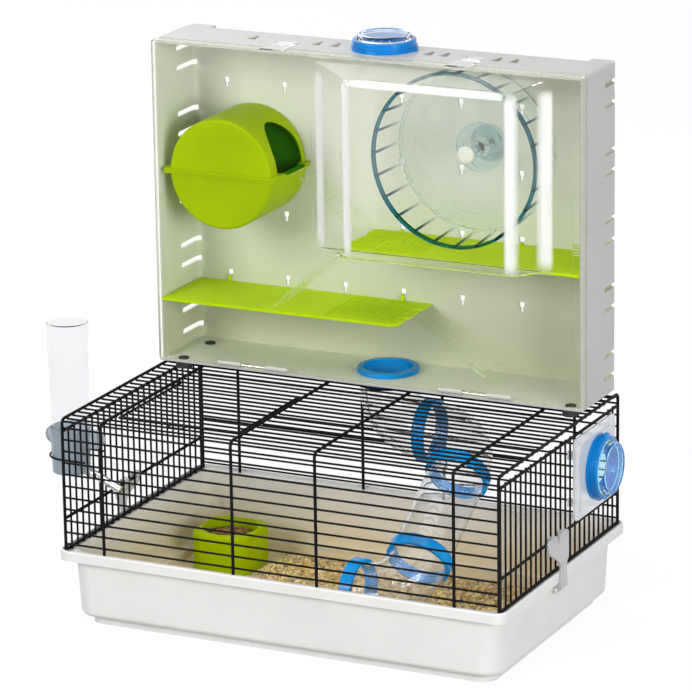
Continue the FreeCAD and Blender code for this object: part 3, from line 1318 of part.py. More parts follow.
def make_bracket_screw():
    """The screw that holds the wheel's stand from behind the case."""
    tip = CASE_INNER_BACK - 0.2 - SCREW_LENGTH + 1.0
    shank = rod(at(WHEEL_X, tip, WHEEL_Z), at(WHEEL_X, CASE_BACK_Y + 1.0, WHEEL_Z), SCREW_RADIUS)
    head_y = CASE_BACK_Y + 0.05
    head = rod(at(WHEEL_X, head_y, WHEEL_Z), at(WHEEL_X, head_y + SCREW_HEAD[1], WHEEL_Z), SCREW_HEAD[0])
    rim = [edge for edge in head.Edges if edge.BoundBox.YMin > head_y + SCREW_HEAD[1] - 0.01]
    head = head.makeFillet(1.0, rim)
    half = 0.6
    arm = SCREW_HEAD[0] * 0.6
    slot_y = (head_y + SCREW_HEAD[1] - 1.2, head_y + SCREW_HEAD[1] + 1.0)
    slots = [
        box((WHEEL_X - arm, WHEEL_X + arm), slot_y, (WHEEL_Z - half, WHEEL_Z + half)),
        box((WHEEL_X - half, WHEEL_X + half), slot_y, (WHEEL_Z - arm, WHEEL_Z + arm)),
    ]
    return fused([shank, head]).cut(Part.makeCompound(slots))


def make_wheel_axle():
    disc_y = WHEEL_FRONT_Y + WHEEL_DEPTH + 3.0
    return rod(at(WHEEL_X, WHEEL_HUB_FRONT_Y + 2.0, WHEEL_Z), at(WHEEL_X, disc_y, WHEEL_Z), AXLE_RADIUS)


def make_wheel_drum():
    """The front band, the rungs and the back band of the running wheel."""
    centre = (WHEEL_X, WHEEL_Z)
    forward = direction(0, 1, 0)
    front = ring(at(centre[0], WHEEL_FRONT_Y, centre[1]), forward, WHEEL_RADIUS, WHEEL_RADIUS - WHEEL_BAND, 4.0)
    back_y = WHEEL_FRONT_Y + WHEEL_DEPTH
    back = ring(
        at(centre[0], back_y - 4.0, centre[1]), forward, WHEEL_BACK_RADIUS, WHEEL_BACK_RADIUS - WHEEL_BAND, 4.0
    )
    shapes = [front, back]
    for index in range(WHEEL_RUNGS):
        turn = 2 * math.pi * index / WHEEL_RUNGS
        near = WHEEL_RADIUS - WHEEL_BAND / 2
        far = WHEEL_BACK_RADIUS - WHEEL_BAND / 2
        start = at(centre[0] + near * math.cos(turn), WHEEL_FRONT_Y + 2.0, centre[1] + near * math.sin(turn))
        end = at(centre[0] + far * math.cos(turn), back_y - 2.0, centre[1] + far * math.sin(turn))
        shapes.append(rod(start, end, WHEEL_RUNG_RADIUS))
    return fused(shapes)


def make_wheel_back():
    """The clear back disc with its hub tube."""
    back_y = WHEEL_FRONT_Y + WHEEL_DEPTH
    inner = WHEEL_BACK_RADIUS - WHEEL_BAND - 0.02
    disc = rod(at(WHEEL_X, back_y - 2.0, WHEEL_Z), at(WHEEL_X, back_y, WHEEL_Z), inner)
    hub = rod(at(WHEEL_X, WHEEL_HUB_FRONT_Y, WHEEL_Z), at(WHEEL_X, back_y, WHEEL_Z), WHEEL_HUB_RADIUS)
    bore = rod(
        at(WHEEL_X, WHEEL_HUB_FRONT_Y + 1.6, WHEEL_Z),
        at(WHEEL_X, back_y + 1.0, WHEEL_Z),
        AXLE_RADIUS + AXLE_CLEARANCE,
    )
    step = ring(
        at(WHEEL_X, back_y - 3.0, WHEEL_Z), direction(0, 1, 0), WHEEL_STEP_RADIUS + 1.2, WHEEL_STEP_RADIUS, 1.5
    )
    shapes = [disc, hub, step]
    for index in range(WHEEL_GUSSETS):
        outline = polygon(
            [
                at(WHEEL_X + WHEEL_HUB_RADIUS - 1.0, back_y - 1.5, WHEEL_Z - 0.6),
                at(WHEEL_X + WHEEL_HUB_RADIUS + 13.0, back_y - 1.5, WHEEL_Z - 0.6),
                at(WHEEL_X + WHEEL_HUB_RADIUS - 1.0, WHEEL_HUB_FRONT_Y + 8.0, WHEEL_Z - 0.6),
            ]
        )
        gusset = Part.Face(outline).extrude(direction(0, 0, 1.2))
        gusset.rotate(at(WHEEL_X, 0, WHEEL_Z), direction(0, 1, 0), 30.0 + 360.0 * index / WHEEL_GUSSETS)
        shapes.append(gusset)
    return fused(shapes).cut(bore)


def make_wheel_cap():
    """The rounded cap on the front of the hub."""
    base = at(WHEEL_X, WHEEL_HUB_FRONT_Y, WHEEL_Z)
    cap = Part.makeCylinder(WHEEL_HUB_RADIUS + 0.8, 3.0, base, direction(0, -1, 0))
    front = [edge for edge in cap.Edges if edge.BoundBox.YMax < WHEEL_HUB_FRONT_Y - 2.9]
    return cap.makeFillet(1.6, front)


# Tube system


def tube_stations():
    """Ends and directions of the tube pieces from the case floor down to the bedding."""
    slope = math.radians(TUBE_SLOPE)
    down = direction(0, -math.cos(slope), -math.sin(slope))
    right = direction(1, 0, 0)
    reach = ELBOW_RADIUS + TUBE_LEG
    top = at(PORT_X, PORT_Y, FIRST_RING_LEVEL + ELBOW_RADIUS)
    first = at(PORT_X + ELBOW_RADIUS + TUBE_LEG / 2, PORT_Y, FIRST_RING_LEVEL)
    second = first + right * reach + down * reach
    third = second + down * STRAIGHT_LENGTH
    fourth = third + down * reach - right * reach
    return {"top": top, "first": first, "second": second, "third": third, "fourth": fourth, "down": down}


def swept_tube(path, start, tangent):
    """A tube along straight runs joined by tangent arcs."""
    solids = []
    for radius in (TUBE_RADIUS, TUBE_RADIUS - TUBE_WALL):
        circle = Part.Wire([Part.Circle(start, tangent, radius).toShape()])
        solids.append(Part.Wire(path).makePipeShell([circle], True, True))
    return solids[0].cut(solids[1])


def elbow(start, tangent, leg_in, turn_to, leg_out):
    """A quarter bend with a short straight run at each end."""
    bend_start = start + tangent * leg_in
    corner_out = bend_start + (tangent + turn_to) * ELBOW_RADIUS
    middle = bend_start + tangent * (ELBOW_RADIUS * math.sin(math.pi / 4))
    middle = middle + turn_to * (ELBOW_RADIUS * (1 - math.cos(math.pi / 4)))
    end = corner_out + turn_to * leg_out
    path = [
        Part.LineSegment(start, bend_start).toShape(),
        Part.Arc(bend_start, middle, corner_out).toShape(),
        Part.LineSegment(corner_out, end).toShape(),
    ]
    return swept_tube(path, start, tangent)


def make_upper_elbow():
    stations = tube_stations()
    start = at(PORT_X, PORT_Y, CASE_BOTTOM - SEAT_GAP)
    leg_in = start.z - stations["top"].z
    leg_out = TUBE_LEG / 2 - 0.1
    return elbow(start, direction(0, 0, -1), leg_in, direction(1, 0, 0), leg_out)


def make_middle_elbow():
    stations = tube_stations()
    right = direction(1, 0, 0)
    start = stations["first"] + right * 0.1
    return elbow(start, right, TUBE_LEG - 0.1, stations["down"], TUBE_LEG - 0.1)


def make_straight_tube():
    stations = tube_stations()
    down = stations["down"]
    start = stations["second"] + down * 0.1
    return ring(start, down, TUBE_RADIUS, TUBE_RADIUS - TUBE_WALL, STRAIGHT_LENGTH - 0.2)


def make_lower_elbow():
    stations = tube_stations()
    down = stations["down"]
    start = stations["third"] + down * 0.1
    return elbow(start, down, TUBE_LEG - 0.1, direction(-1, 0, 0), TUBE_LEG)


def coupling(centre, axis, ears_along):
    """A collar over the joint of two tubes, with a raised waist band and two small ears."""
    start = centre - axis * (COUPLING_WIDTH / 2)
    bore = TUBE_RADIUS + COUPLING_CLEARANCE
    collar = ring(start, axis, COUPLING_RADIUS, bore, COUPLING_WIDTH)
    rims = [edge for edge in collar.Edges if abs(edge.Length - 2 * math.pi * COUPLING_RADIUS) < 0.5]
    collar = collar.makeFillet(1.2, rims)
    shapes = [collar]
    for side in (-1, 1):
        nub = Part.makeCylinder(
            4.5, 3.0, centre - axis * 1.5 + ears_along * (side * (RING_EAR - 4.5)), axis
        )
        shapes.append(nub.cut(Part.makeCylinder(COUPLING_RADIUS - 1.0, 40.0, centre - axis * 20, axis)))
    return fused(shapes)


def make_couplings():
    stations = tube_stations()
    down = stations["down"]
    right = direction(1, 0, 0)
    back = direction(0, 1, 0)
    end = stations["fourth"] + right * (COUPLING_WIDTH / 2 - MOUTH_OVERHANG)
    return [
        coupling(stations["first"], right, back),
        coupling(stations["second"], down, right),
        coupling(stations["third"], down, right),
        coupling(end, right, down),
    ]


# Side port


def side_plate_block(inset, start, thickness):
    """A rounded slab of the side plate, drawn in by an inset and set off from the wires."""
    half_y = SIDE_PLATE_SIZE[0] / 2 - inset
    half_z = SIDE_PLATE_SIZE[1] / 2 - inset
    block = slab(rounded_rectangle(half_z, half_y, SIDE_PLATE_CORNER - min(inset, 3.0), 0.0), thickness)
    block.rotate(direction(0, 0, 0), direction(0, 1, 0), 90)
    x = WIRE_HALF_X + THICK_WIRE + SEAT_GAP + start
    block.translate(at(x, SIDE_PORT_Y - 1.0, SIDE_PORT_Z - 0.75))
    return block


def make_side_port_plate():
    """A clear plate with a raised panel over the opening in the right end, hooked behind two uprights."""
    x = WIRE_HALF_X + THICK_WIRE + SEAT_GAP
    frame = side_plate_block(0.0, 0.0, SIDE_PLATE_RIM)
    panel = side_plate_block(SIDE_PLATE_BORDER, 0.0, SIDE_PLATE_THICKNESS)
    pocket_inset = SIDE_PLATE_BORDER + SIDE_PLATE_WALL
    pocket = side_plate_block(pocket_inset, -1.0, SIDE_PLATE_THICKNESS - SIDE_PLATE_WALL + 1.0)
    boss_start = at(x, SIDE_PORT_Y, SIDE_PORT_Z)
    boss = Part.makeCylinder(RING_SLEEVE + 2.0, SIDE_PLATE_THICKNESS, boss_start, direction(1, 0, 0))
    hole = Part.makeCylinder(
        RING_SLEEVE + 0.2, SIDE_PLATE_THICKNESS + 2.0, boss_start - direction(1, 0, 0), direction(1, 0, 0)
    )
    shapes = [fused([frame.fuse(panel).cut(pocket), boss]).cut(hole)]
    wire_x = WIRE_HALF_X - THIN_INSET
    near = END_WIRE_FIRST + END_WIRE_PITCH * (SIDE_PORT_FIRST_CUT - 1) + THIN_WIRE + 0.3
    far = END_WIRE_FIRST + END_WIRE_PITCH * (SIDE_PORT_LAST_CUT + 1) - THIN_WIRE - 0.3
    for y, inward in ((near, 1), (far, -1)):
        for z in (SIDE_PORT_Z - 23.0, SIDE_PORT_Z + 23.0):
            stem = tuple(sorted((y, y + inward * 2.0)))
            tip = tuple(sorted((y - inward * 1.6, y + inward * 2.0)))
            shapes.append(box((wire_x - THIN_WIRE - 2.0, x + 0.5), stem, (z - 4.0, z + 4.0)))
            shapes.append(
                box((wire_x - THIN_WIRE - 2.0, wire_x - THIN_WIRE - 0.3), tip, (z - 4.0, z + 4.0))
            )
    return fused(shapes)


def side_port_centre():
    x = WIRE_HALF_X + THICK_WIRE + SEAT_GAP + SIDE_PLATE_THICKNESS
    return at(x, SIDE_PORT_Y, SIDE_PORT_Z)


def make_side_port_ring():
    ear_rises = (0.0, TOP_RING_HEIGHT - 3.0)
    return eared_port_ring(
        side_port_centre(), direction(1, 0, 0), direction(0, 0, 1), SIDE_PLATE_THICKNESS, ear_rises
    )


# Water bottle


def make_water_bottle():
    """An upturned clear bottle that tapers towards its neck."""
    low = HOLDER_BOTTOM + HOLDER_WALL + 6.0
    sections = (
        (BOTTLE_TOP, BOTTLE_BASE_RADIUS),
        (HOLDER_TOP + 8.0, BOTTLE_BASE_RADIUS - 2.0),
        (HOLDER_TOP - 8.0, BOTTLE_NECK_RADIUS),
        (low, BOTTLE_NECK_RADIUS),
    )

    def revolved(inset, top_inset, bottom):
        points = [FreeCAD.Vector(0, 0, sections[0][0] - top_inset + RIM)]
        for level, radius in sections:
            height = level - (top_inset if level == BOTTLE_TOP else 0.0)
            height = bottom if level == low else height
            points.append(FreeCAD.Vector(radius - inset, 0, height + RIM))
        points.append(FreeCAD.Vector(0, 0, bottom + RIM))
        face = Part.Face(polygon(points))
        solid = face.revolve(FreeCAD.Vector(0, 0, 0), FreeCAD.Vector(0, 0, 1), 360)
        solid.translate(FreeCAD.Vector(BOTTLE_X, BOTTLE_Y, 0))
        return solid

    outer = revolved(0.0, 0.0, low)
    top_edges = [
        edge for edge in outer.Edges if edge.BoundBox.ZMin > BOTTLE_TOP + RIM - 0.01 and edge.Length > 100
    ]
    outer = outer.makeFillet(3.0, top_edges)
    inner = revolved(BOTTLE_WALL, BOTTLE_WALL, low - 1.0)
    return outer.cut(inner)


def make_bottle_holder():
    """The cup on the bottle's neck, with two wings, a flat foot and the spout's socket."""
    outer = Part.makeCone(
        BOTTLE_NECK_RADIUS + 1.2, BOTTLE_NECK_RADIUS + 2.4, HOLDER_TOP - HOLDER_BOTTOM,
        at(BOTTLE_X, BOTTLE_Y, HOLDER_BOTTOM),
    )
    shapes = [outer]
    wing_low, wing_high = 82.0, 100.0
    wing_radius = (wing_high - wing_low) / 2
    for side, reach in zip((-1, 1), HOLDER_WING):
        centre_x = BOTTLE_X + side * (reach - wing_radius)
        disc = rod(
            at(centre_x, BOTTLE_Y - 2.5, wing_low + wing_radius),
            at(centre_x, BOTTLE_Y + 2.5, wing_low + wing_radius),
            wing_radius,
        )
        web = box(
            tuple(sorted((centre_x, BOTTLE_X))), (BOTTLE_Y - 2.5, BOTTLE_Y + 2.5), (wing_low, wing_high)
        )
        shapes += [disc, web]
    start, end = spout_line()
    along = end - start
    along.normalize()
    socket_end = start + along * 7.0
    socket_start = start - along * 3.0
    shapes.append(rod(socket_start, socket_end, SPOUT_RADIUS + 0.02 + 1.4))
    holder = fused(shapes)
    cavity = Part.makeCylinder(
        BOTTLE_NECK_RADIUS + 0.15,
        HOLDER_TOP - HOLDER_BOTTOM,
        at(BOTTLE_X, BOTTLE_Y, HOLDER_BOTTOM + HOLDER_WALL),
    )
    funnel = Part.makeCone(
        BOTTLE_NECK_RADIUS + 0.15, BOTTLE_BASE_RADIUS + 0.4, 10.0, at(BOTTLE_X, BOTTLE_Y, HOLDER_TOP - 9.0)
    )
    bore = rod(start - along * 6.0, socket_end + along, SPOUT_RADIUS + 0.02)
    return holder.cut(cavity.fuse(funnel)).cut(bore).removeSplitter()


def spout_line():
    start = at(BOTTLE_X + SPOUT_START[0], BOTTLE_Y, SPOUT_START[1])
    end = at(BOTTLE_X + SPOUT_END[0], BOTTLE_Y, SPOUT_END[1])
    return start, end


def make_drinking_spout():
    """The bent-down metal tube whose narrowed mouth holds the ball."""
    start, end = spout_line()
    along = end - start
    along.normalize()
    body = rod(start, end, SPOUT_RADIUS)
    bore = rod(start - along, end - along * 1.2, SPOUT_BORE)
    mouth = rod(end - along * 2.0, end + along, SPOUT_BALL * 0.86)
    nose = body.Edges
    rim = [edge for edge in nose if (edge.CenterOfMass - end).Length < 0.1]
    body = body.makeFillet(0.8, rim)
    return body.cut(bore).cut(mouth)


def make_spout_ball():
    start, end = spout_line()
    along = end - start
    along.normalize()
    return Part.makeSphere(SPOUT_BALL, end - along * (1.2 + SPOUT_BALL * 0.51 + 0.1))


def make_holder_strap():
    """The wire spring that loops round the cup and ends on two uprights of the left end."""
    level = 73.0
    radius = BOTTLE_NECK_RADIUS + 2.2 + THIN_WIRE
    centre = at(BOTTLE_X, BOTTLE_Y, level)
    loop = Part.makeTorus(radius, THIN_WIRE, centre, direction(0, 0, 1), -180, 180, 180)
    loop.rotate(centre, direction(0, 0, 1), 90)
    end_x = -WIRE_HALF_X + THIN_INSET - THIN_WIRE - 0.2
    shapes = [loop]
    for side in (-1, 1):
        y = BOTTLE_Y + side * radius
        shapes.append(wire_run((BOTTLE_X, y, level), (end_x, y, level), THIN_WIRE))
    return fused(shapes)


# Bowl


def make_food_bowl():
    floor = TRAY_FLOOR_TOP + SEAT_GAP
    outline = rounded_rectangle(BOWL_SIDE / 2, BOWL_SIDE / 2, BOWL_CORNER, floor, (BOWL_X, BOWL_Y))
    block = slab(outline, BOWL_HEIGHT)
    top = [edge for edge in block.Edges if edge.BoundBox.ZMin > floor + BOWL_HEIGHT - 0.01]
    block = block.makeFillet(3.0, top)
    depth = BOWL_HEIGHT - BOWL_FLOOR
    hollow = Part.makeCylinder(BOWL_MOUTH, depth + 1.0, FreeCAD.Vector(BOWL_X, BOWL_Y, floor + BOWL_FLOOR))
    base = [edge for edge in hollow.Edges if edge.BoundBox.ZMax < floor + BOWL_FLOOR + 0.01]
    hollow = hollow.makeFillet(8.0, base)
    return block.cut(hollow)


def make_food_mix():
    """The food in the bowl, as one low heap."""
    low = TRAY_FLOOR_TOP + SEAT_GAP + BOWL_FLOOR + SEAT_GAP
    top = TRAY_FLOOR_TOP + SEAT_GAP + BOWL_HEIGHT - FOOD_DROP
    centre = FreeCAD.Vector(BOWL_X, BOWL_Y, low)
    radius = BOWL_MOUTH - SEAT_GAP
    heap = Part.makeCylinder(radius, top - low, centre)
    base = [edge for edge in heap.Edges if edge.BoundBox.ZMax < low + 0.01]
    heap = heap.makeFillet(8.0, base)
    crown = Part.makeCone(radius, radius * 0.45, 4.5, FreeCAD.Vector(BOWL_X, BOWL_Y, top))
    return fused([heap, crown])


def build():
    couplings = make_couplings()
    nodes = {
        "tray": make_tray(),
        "bedding": make_bedding(),
        "front_grille": side_grille(-1),
        "back_grille": side_grille(1),
        "roof_grille": make_roof_grille(),
        "left_end_grille": end_grille(-1),
        "right_end_grille": end_grille(1),
        "roof_door": make_roof_door(),
        "left_end_clip": make_side_clip(-1),
        "right_end_clip": make_side_clip(1),
        "rear_shell": make_rear_shell(),
        "case_feet": make_case_feet(),
        "front_cover": make_front_cover(),
        "cover_hinge_pins": make_cover_hinge_pins(),
        "left_cover_latch": make_cover_latch(LATCH_X[0]),
        "right_cover_latch": make_cover_latch(LATCH_X[1]),
        "latch_pins": make_latch_pins(),
        "floor_port_ring": make_floor_port_ring(),
        "top_port_ring": make_top_port_ring(),
        "top_port_cap": port_cap(
            at(PORT_X, PORT_Y, CASE_TOP), direction(0, 0, 1), direction(1, 0, 0), TOP_CAP_RISE
        ),
        "side_port_plate": make_side_port_plate(),
        "side_port_ring": make_side_port_ring(),
        "side_port_cap": port_cap(
            side_port_centre(), direction(1, 0, 0), direction(0, 1, 0), SIDE_CAP_RISE
        ),
        "left_shelf": make_shelf(LEFT_SHELF_X, LEFT_SHELF_TOP, 1, (-3, 0), KEYHOLE_LEVELS[0]),
        "right_shelf": make_shelf(RIGHT_SHELF_X, RIGHT_SHELF_TOP, -1, (0, 2), KEYHOLE_LEVELS[1]),
        "house_base": house_half(False),
        "house_roof": house_half(True),
        "house_ramp": make_house_ramp(),
        "middle_ramp": make_middle_ramp(),
        "lower_ramp": make_lower_ramp(),
        "wheel_bracket": make_wheel_bracket(),
        "bracket_screw": make_bracket_screw(),
        "wheel_axle": make_wheel_axle(),
        "wheel_drum": make_wheel_drum(),
        "wheel_back": make_wheel_back(),
        "wheel_hub_cap": make_wheel_cap(),
        "upper_elbow": make_upper_elbow(),
        "middle_elbow": make_middle_elbow(),
        "straight_tube": make_straight_tube(),
        "lower_elbow": make_lower_elbow(),
        "upper_coupling": couplings[0],
        "middle_coupling": couplings[1],
        "lower_coupling": couplings[2],
        "mouth_coupling": couplings[3],
        "water_bottle": make_water_bottle(),
        "bottle_holder": make_bottle_holder(),
        "holder_strap": make_holder_strap(),
        "drinking_spout": make_drinking_spout(),
        "spout_ball": make_spout_ball(),
        "food_bowl": make_food_bowl(),
        "food_mix": make_food_mix(),
    }
    os.makedirs("parts", exist_ok=True)
    for name, shape in nodes.items():
        shape.exportStep("parts/" + name + ".step")
        print(f"{name}: {len(shape.Solids)} solids, {shape.Volume:.0f} mm3, valid {shape.isValid()}")


build()
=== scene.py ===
"""Looks of a two-storey rodent cage, laid out as a Blender add-on and run as a script."""

import math
import random

import bmesh
import bpy
from bpy.props import FloatProperty, FloatVectorProperty, IntProperty, PointerProperty
from mathutils import Matrix, Vector, noise


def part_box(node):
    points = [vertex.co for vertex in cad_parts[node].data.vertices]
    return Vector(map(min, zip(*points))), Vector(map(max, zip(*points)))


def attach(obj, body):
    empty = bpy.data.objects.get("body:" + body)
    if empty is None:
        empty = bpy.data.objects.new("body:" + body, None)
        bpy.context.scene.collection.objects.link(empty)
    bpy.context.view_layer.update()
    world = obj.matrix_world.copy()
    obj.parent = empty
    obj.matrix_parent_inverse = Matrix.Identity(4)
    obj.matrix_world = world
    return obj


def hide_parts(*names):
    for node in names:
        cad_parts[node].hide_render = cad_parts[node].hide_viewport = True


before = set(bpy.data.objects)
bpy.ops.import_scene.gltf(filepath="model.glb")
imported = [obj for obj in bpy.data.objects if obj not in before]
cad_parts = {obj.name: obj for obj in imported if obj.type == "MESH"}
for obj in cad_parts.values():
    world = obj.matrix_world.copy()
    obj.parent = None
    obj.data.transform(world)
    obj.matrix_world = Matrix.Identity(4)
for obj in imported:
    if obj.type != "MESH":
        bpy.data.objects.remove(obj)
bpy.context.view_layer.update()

bl_info = {
    "name": "Rodent cage",
    "version": (1, 0, 0),
    "blender": (4, 5, 0),
    "location": "3D View > Sidebar > Rodent cage",
    "description": "Finishes the packed rodent cage and adds its bedding, food and stage",
    "category": "Object",
}

WHITE = (1.0, 1.0, 1.0, 1.0)

# Light scattered inside the plastics: its reach in each colour, and their scale in metres
SCATTER_RADIUS = (0.9, 1.0, 0.5)
SCATTER_SCALE = 0.002

# Depths of fine relief in metres
GRAIN_DEPTH = 0.0002
FIBRE_DEPTH = 0.0004

# Painted highlights, white strips where light glints on the bends that run upright on the cover: the edge of
# the bulge's flat front that each is measured from, its distance from it, half width, soft edge and
# whiteness
UPRIGHT_BEND_HIGHLIGHTS = (
    ("left", -0.0425, 0.0022, 0.0048, 0.72),
    ("left", -0.0035, 0.0018, 0.0042, 0.82),
    ("right", 0.0050, 0.0022, 0.0045, 0.80),
    ("right", 0.0285, 0.0026, 0.0052, 0.82),
)

# The painted highlight, a white strip where light glints on the bend over the bulge: height over the flat
# front, half width and soft edge
TOP_BEND_HIGHLIGHT = (0.0025, 0.0012, 0.0034)

# How far behind the bulge's flat front its painted bend highlights end, and how far its haze, a painted
# reflection, reaches
BEND_HIGHLIGHTS_END = 0.034
REFLECTION_HAZE_END = 0.0306

# Where the wheel's tint starts and stops fading, behind its front
WHEEL_FADE = (0.008, 0.052)

# Painted shade with painted green bounce light: the white case's inside walls turn darker and yellower below
# this height over its floor
CASE_PAINTED_SHADE_REACH = 0.17

# Variation of tone between wood chips, and the number of chips per metre
CHIP_SPREAD = 0.45
CHIP_CELLS = 260.0

# The bedding: its even depth, its heap's height, middle and spread, and the width of its thin edge
BED_THIN = 0.0032
BED_HEAP = 0.0045
BED_HEAP_MIDDLE = (0.045, -0.025)
BED_HEAP_SPREAD = (0.11, 0.065)
BED_EDGE = 0.012

# Fine and wide unevenness of the bedding: height, and waves per metre
BED_ROUGH = (0.0009, 90.0)
BED_WAVES = (0.0012, 14.0)

# The heap in the bowl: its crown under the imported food's box, its fall towards the rim, and the depth
# of its loose pieces over its body
FOOD_CROWN = 0.0022
FOOD_SLOPE = 0.0055
FOOD_DEPTH = 0.006

# Shortest and longest pieces of food, and the radius of the round ones
FOOD_LENGTHS = {
    "food_seeds": (0.004, 0.0065),
    "food_sticks": (0.005, 0.0085),
    "food_flakes": (0.005, 0.009),
}
FOOD_RADIUS = {"food_seeds": 0.0017, "food_sticks": 0.0014}
PELLET_SIDES = 8

# The stage: what the camera and the lamps face, and each lamp's place, size and watts
CAMERA_TARGET = (0.0055, 0.0, 0.2634)
LAMP_TARGET = (0.0, 0.0, 0.28)
LAMPS = (
    ("key_lamp", (-1.4, -3.0, 1.6), (1.6, 1.6), 69.0),
    ("right_lamp", (2.6, -1.5, 0.8), (1.8, 1.2), 56.0),
    ("top_lamp", (0.2, -0.2, 2.6), (2.0, 2.0), 24.0),
    ("back_lamp", (-2.2, 2.2, 2.5), (2.4, 2.4), 40.0),
)
SENSOR_WIDTH = 36.0

# The floor's half width, its drop under the cage, and its own glow and that glow's share
FLOOR_SIZE = 12.0
FLOOR_DROP = 0.0002
FLOOR_GLOW = 1.22
FLOOR_GLOW_SHARE = 0.76


def colour_property(name, description, default):
    return FloatVectorProperty(
        name=name, description=description, subtype="COLOR", size=4, min=0.0, max=1.0, default=default
    )


class CageColours(bpy.types.PropertyGroup):
    """Colours of the cage's plastics, wires and loose fill."""

    tray: colour_property("Tray", "Pale tray plastic", (0.82, 0.81, 0.795, 1.0))
    # Lit and shaded copies of one white plastic: the outside painted darker, painted shade, and the inside
    # painted lighter, painted light
    case: colour_property("Case", "White plastic of the upper case", (0.54, 0.532, 0.53, 1.0))
    case_inside_painted_light: colour_property("Case inside", "The same plastic inside", (0.71, 0.715, 0.70, 1.0))
    # Painted shade with painted green bounce light, low on the inside walls
    case_low_painted_shade: colour_property("Case low down", "Inside walls near the floor", (0.52, 0.54, 0.43, 1.0))
    clip: colour_property("Clips", "Milky plastic of the end clips", (0.68, 0.69, 0.71, 1.0))
    clip_clear: colour_property("Clips, clear", "What shines through the clips", (0.90, 0.92, 0.94, 1.0))
    cover: colour_property("Cover", "Clear plastic of cover and ramps", (0.985, 1.0, 0.93, 1.0))
    cover_light: colour_property("Cover's light", "Light behind the cover", (0.995, 1.0, 0.96, 1.0))
    clear: colour_property("Clear", "Plastic of tubes, caps and bottle", (0.95, 0.955, 0.965, 1.0))
    # Whitish haze of cloudy plastics, and painted highlights: white along edges seen edge on and along the
    # cover's bends
    haze_and_highlight_colour: colour_property("Milky", "Whitened edges and bends", (0.97, 0.975, 0.97, 1.0))
    plate: colour_property("Side plate", "Speckled side port plate", (0.93, 0.95, 0.98, 1.0))
    side_cap: colour_property("Side cap", "Tinted cap of the side port", (0.50, 0.80, 0.96, 1.0))
    wheel: colour_property("Wheel", "Tinted plastic of the wheel", (0.01, 0.47, 0.64, 1.0))
    wheel_edge: colour_property("Wheel edges", "The tint seen edge on", (0.0, 0.10, 0.22, 1.0))
    wheel_far: colour_property("Wheel, far", "The tint towards the back", (0.90, 0.965, 0.96, 1.0))
    wheel_back: colour_property("Wheel back", "Clear back of the wheel", (0.93, 0.975, 0.98, 1.0))
    wheel_hub: colour_property("Wheel back edges", "The back seen edge on", (0.16, 0.56, 0.68, 1.0))
    stand: colour_property("Stand", "Clear plastic of the wheel's stand", (0.72, 0.86, 0.92, 1.0))
    holder: colour_property("Holder", "Milky plastic of the bottle's holder", (0.42, 0.48, 0.54, 1.0))
    holder_clear: colour_property("Holder, clear", "What shines through it", (0.72, 0.80, 0.88, 1.0))
    lime: colour_property("Lime", "Food bowl", (0.44, 0.60, 0.0, 1.0))
    # Lit and shaded copies of the lime plastic: the shelves painted lighter, painted light; the nest painted
    # darker, painted shade
    lime_shelf_painted_light: colour_property("Lime shelves", "Shelves, which catch less light", (0.53, 0.74, 0.0, 1.0))
    lime_house_painted_shade: colour_property("Lime nest", "Nest, which faces the light", (0.37, 0.51, 0.0, 1.0))
    house_inside: colour_property("Nest inside", "The nest's shaded inside", (0.04, 0.26, 0.0006, 1.0))
    blue: colour_property("Blue", "Port rings", (0.001, 0.25, 0.74, 1.0))
    # A lit copy of the blue: painted light on the couplings
    blue_painted_lighter: colour_property("Bright blue", "Couplings of the tubes", (0.0005, 0.38, 0.98, 1.0))
    wire: colour_property("Wire", "Coating of the wires", (0.006, 0.006, 0.007, 1.0))
    rubber: colour_property("Feet", "Black feet of the upper case", (0.015, 0.015, 0.016, 1.0))
    steel: colour_property("Steel", "Pins, screw and drinking spout", (0.62, 0.63, 0.65, 1.0))
    shaving: colour_property("Bedding", "Wood shavings", (1.0, 0.80, 0.45, 1.0))
    dust: colour_property("Dust", "Wood dust on the tray's inside", (0.84, 0.70, 0.42, 1.0))
    seeds: colour_property("Seeds", "Pale seeds in the bowl", (0.42, 0.27, 0.11, 1.0))
    sticks: colour_property("Green sticks", "Sticks in the bowl", (0.16, 0.2, 0.06, 1.0))
    flakes: colour_property("Orange flakes", "Flakes in the bowl", (0.55, 0.2, 0.06, 1.0))
    floor: colour_property("Floor", "Floor of the stage", (0.36, 0.36, 0.36, 1.0))


class CageFill(bpy.types.PropertyGroup):
    """Amounts and sizes of the loose fill."""

    chip_count: IntProperty(name="Chips", description="Number of loose shavings", default=9000, min=0)
    chip_length: FloatProperty(
        name="Chip length", description="Mean length of a shaving", default=0.0042, unit="LENGTH"
    )
    grid_step: FloatProperty(
        name="Bedding grid", description="Cell size of the bedding's surface", default=0.0035, unit="LENGTH"
    )
    food_count: IntProperty(name="Food pieces", description="Number of food pieces", default=420, min=0)
    seed: IntProperty(name="Seed", description="Seed of the loose pieces' places", default=7)


class StageSettings(bpy.types.PropertyGroup):
    """Camera and light."""

    azimuth: FloatProperty(name="Azimuth", description="Camera's turn round the cage", default=25.95)
    elevation: FloatProperty(name="Elevation", description="Camera's height angle", default=16.24)
    distance: FloatProperty(name="Distance", description="Camera to target", default=4.0976, unit="LENGTH")
    roll: FloatProperty(name="Roll", description="Camera's roll in degrees", default=-0.84)
    focal_ratio: FloatProperty(name="Focal ratio", description="Focal length over width", default=6.3208)
    world_strength: FloatProperty(name="World", description="Strength of the even light", default=0.27)


# Node helpers


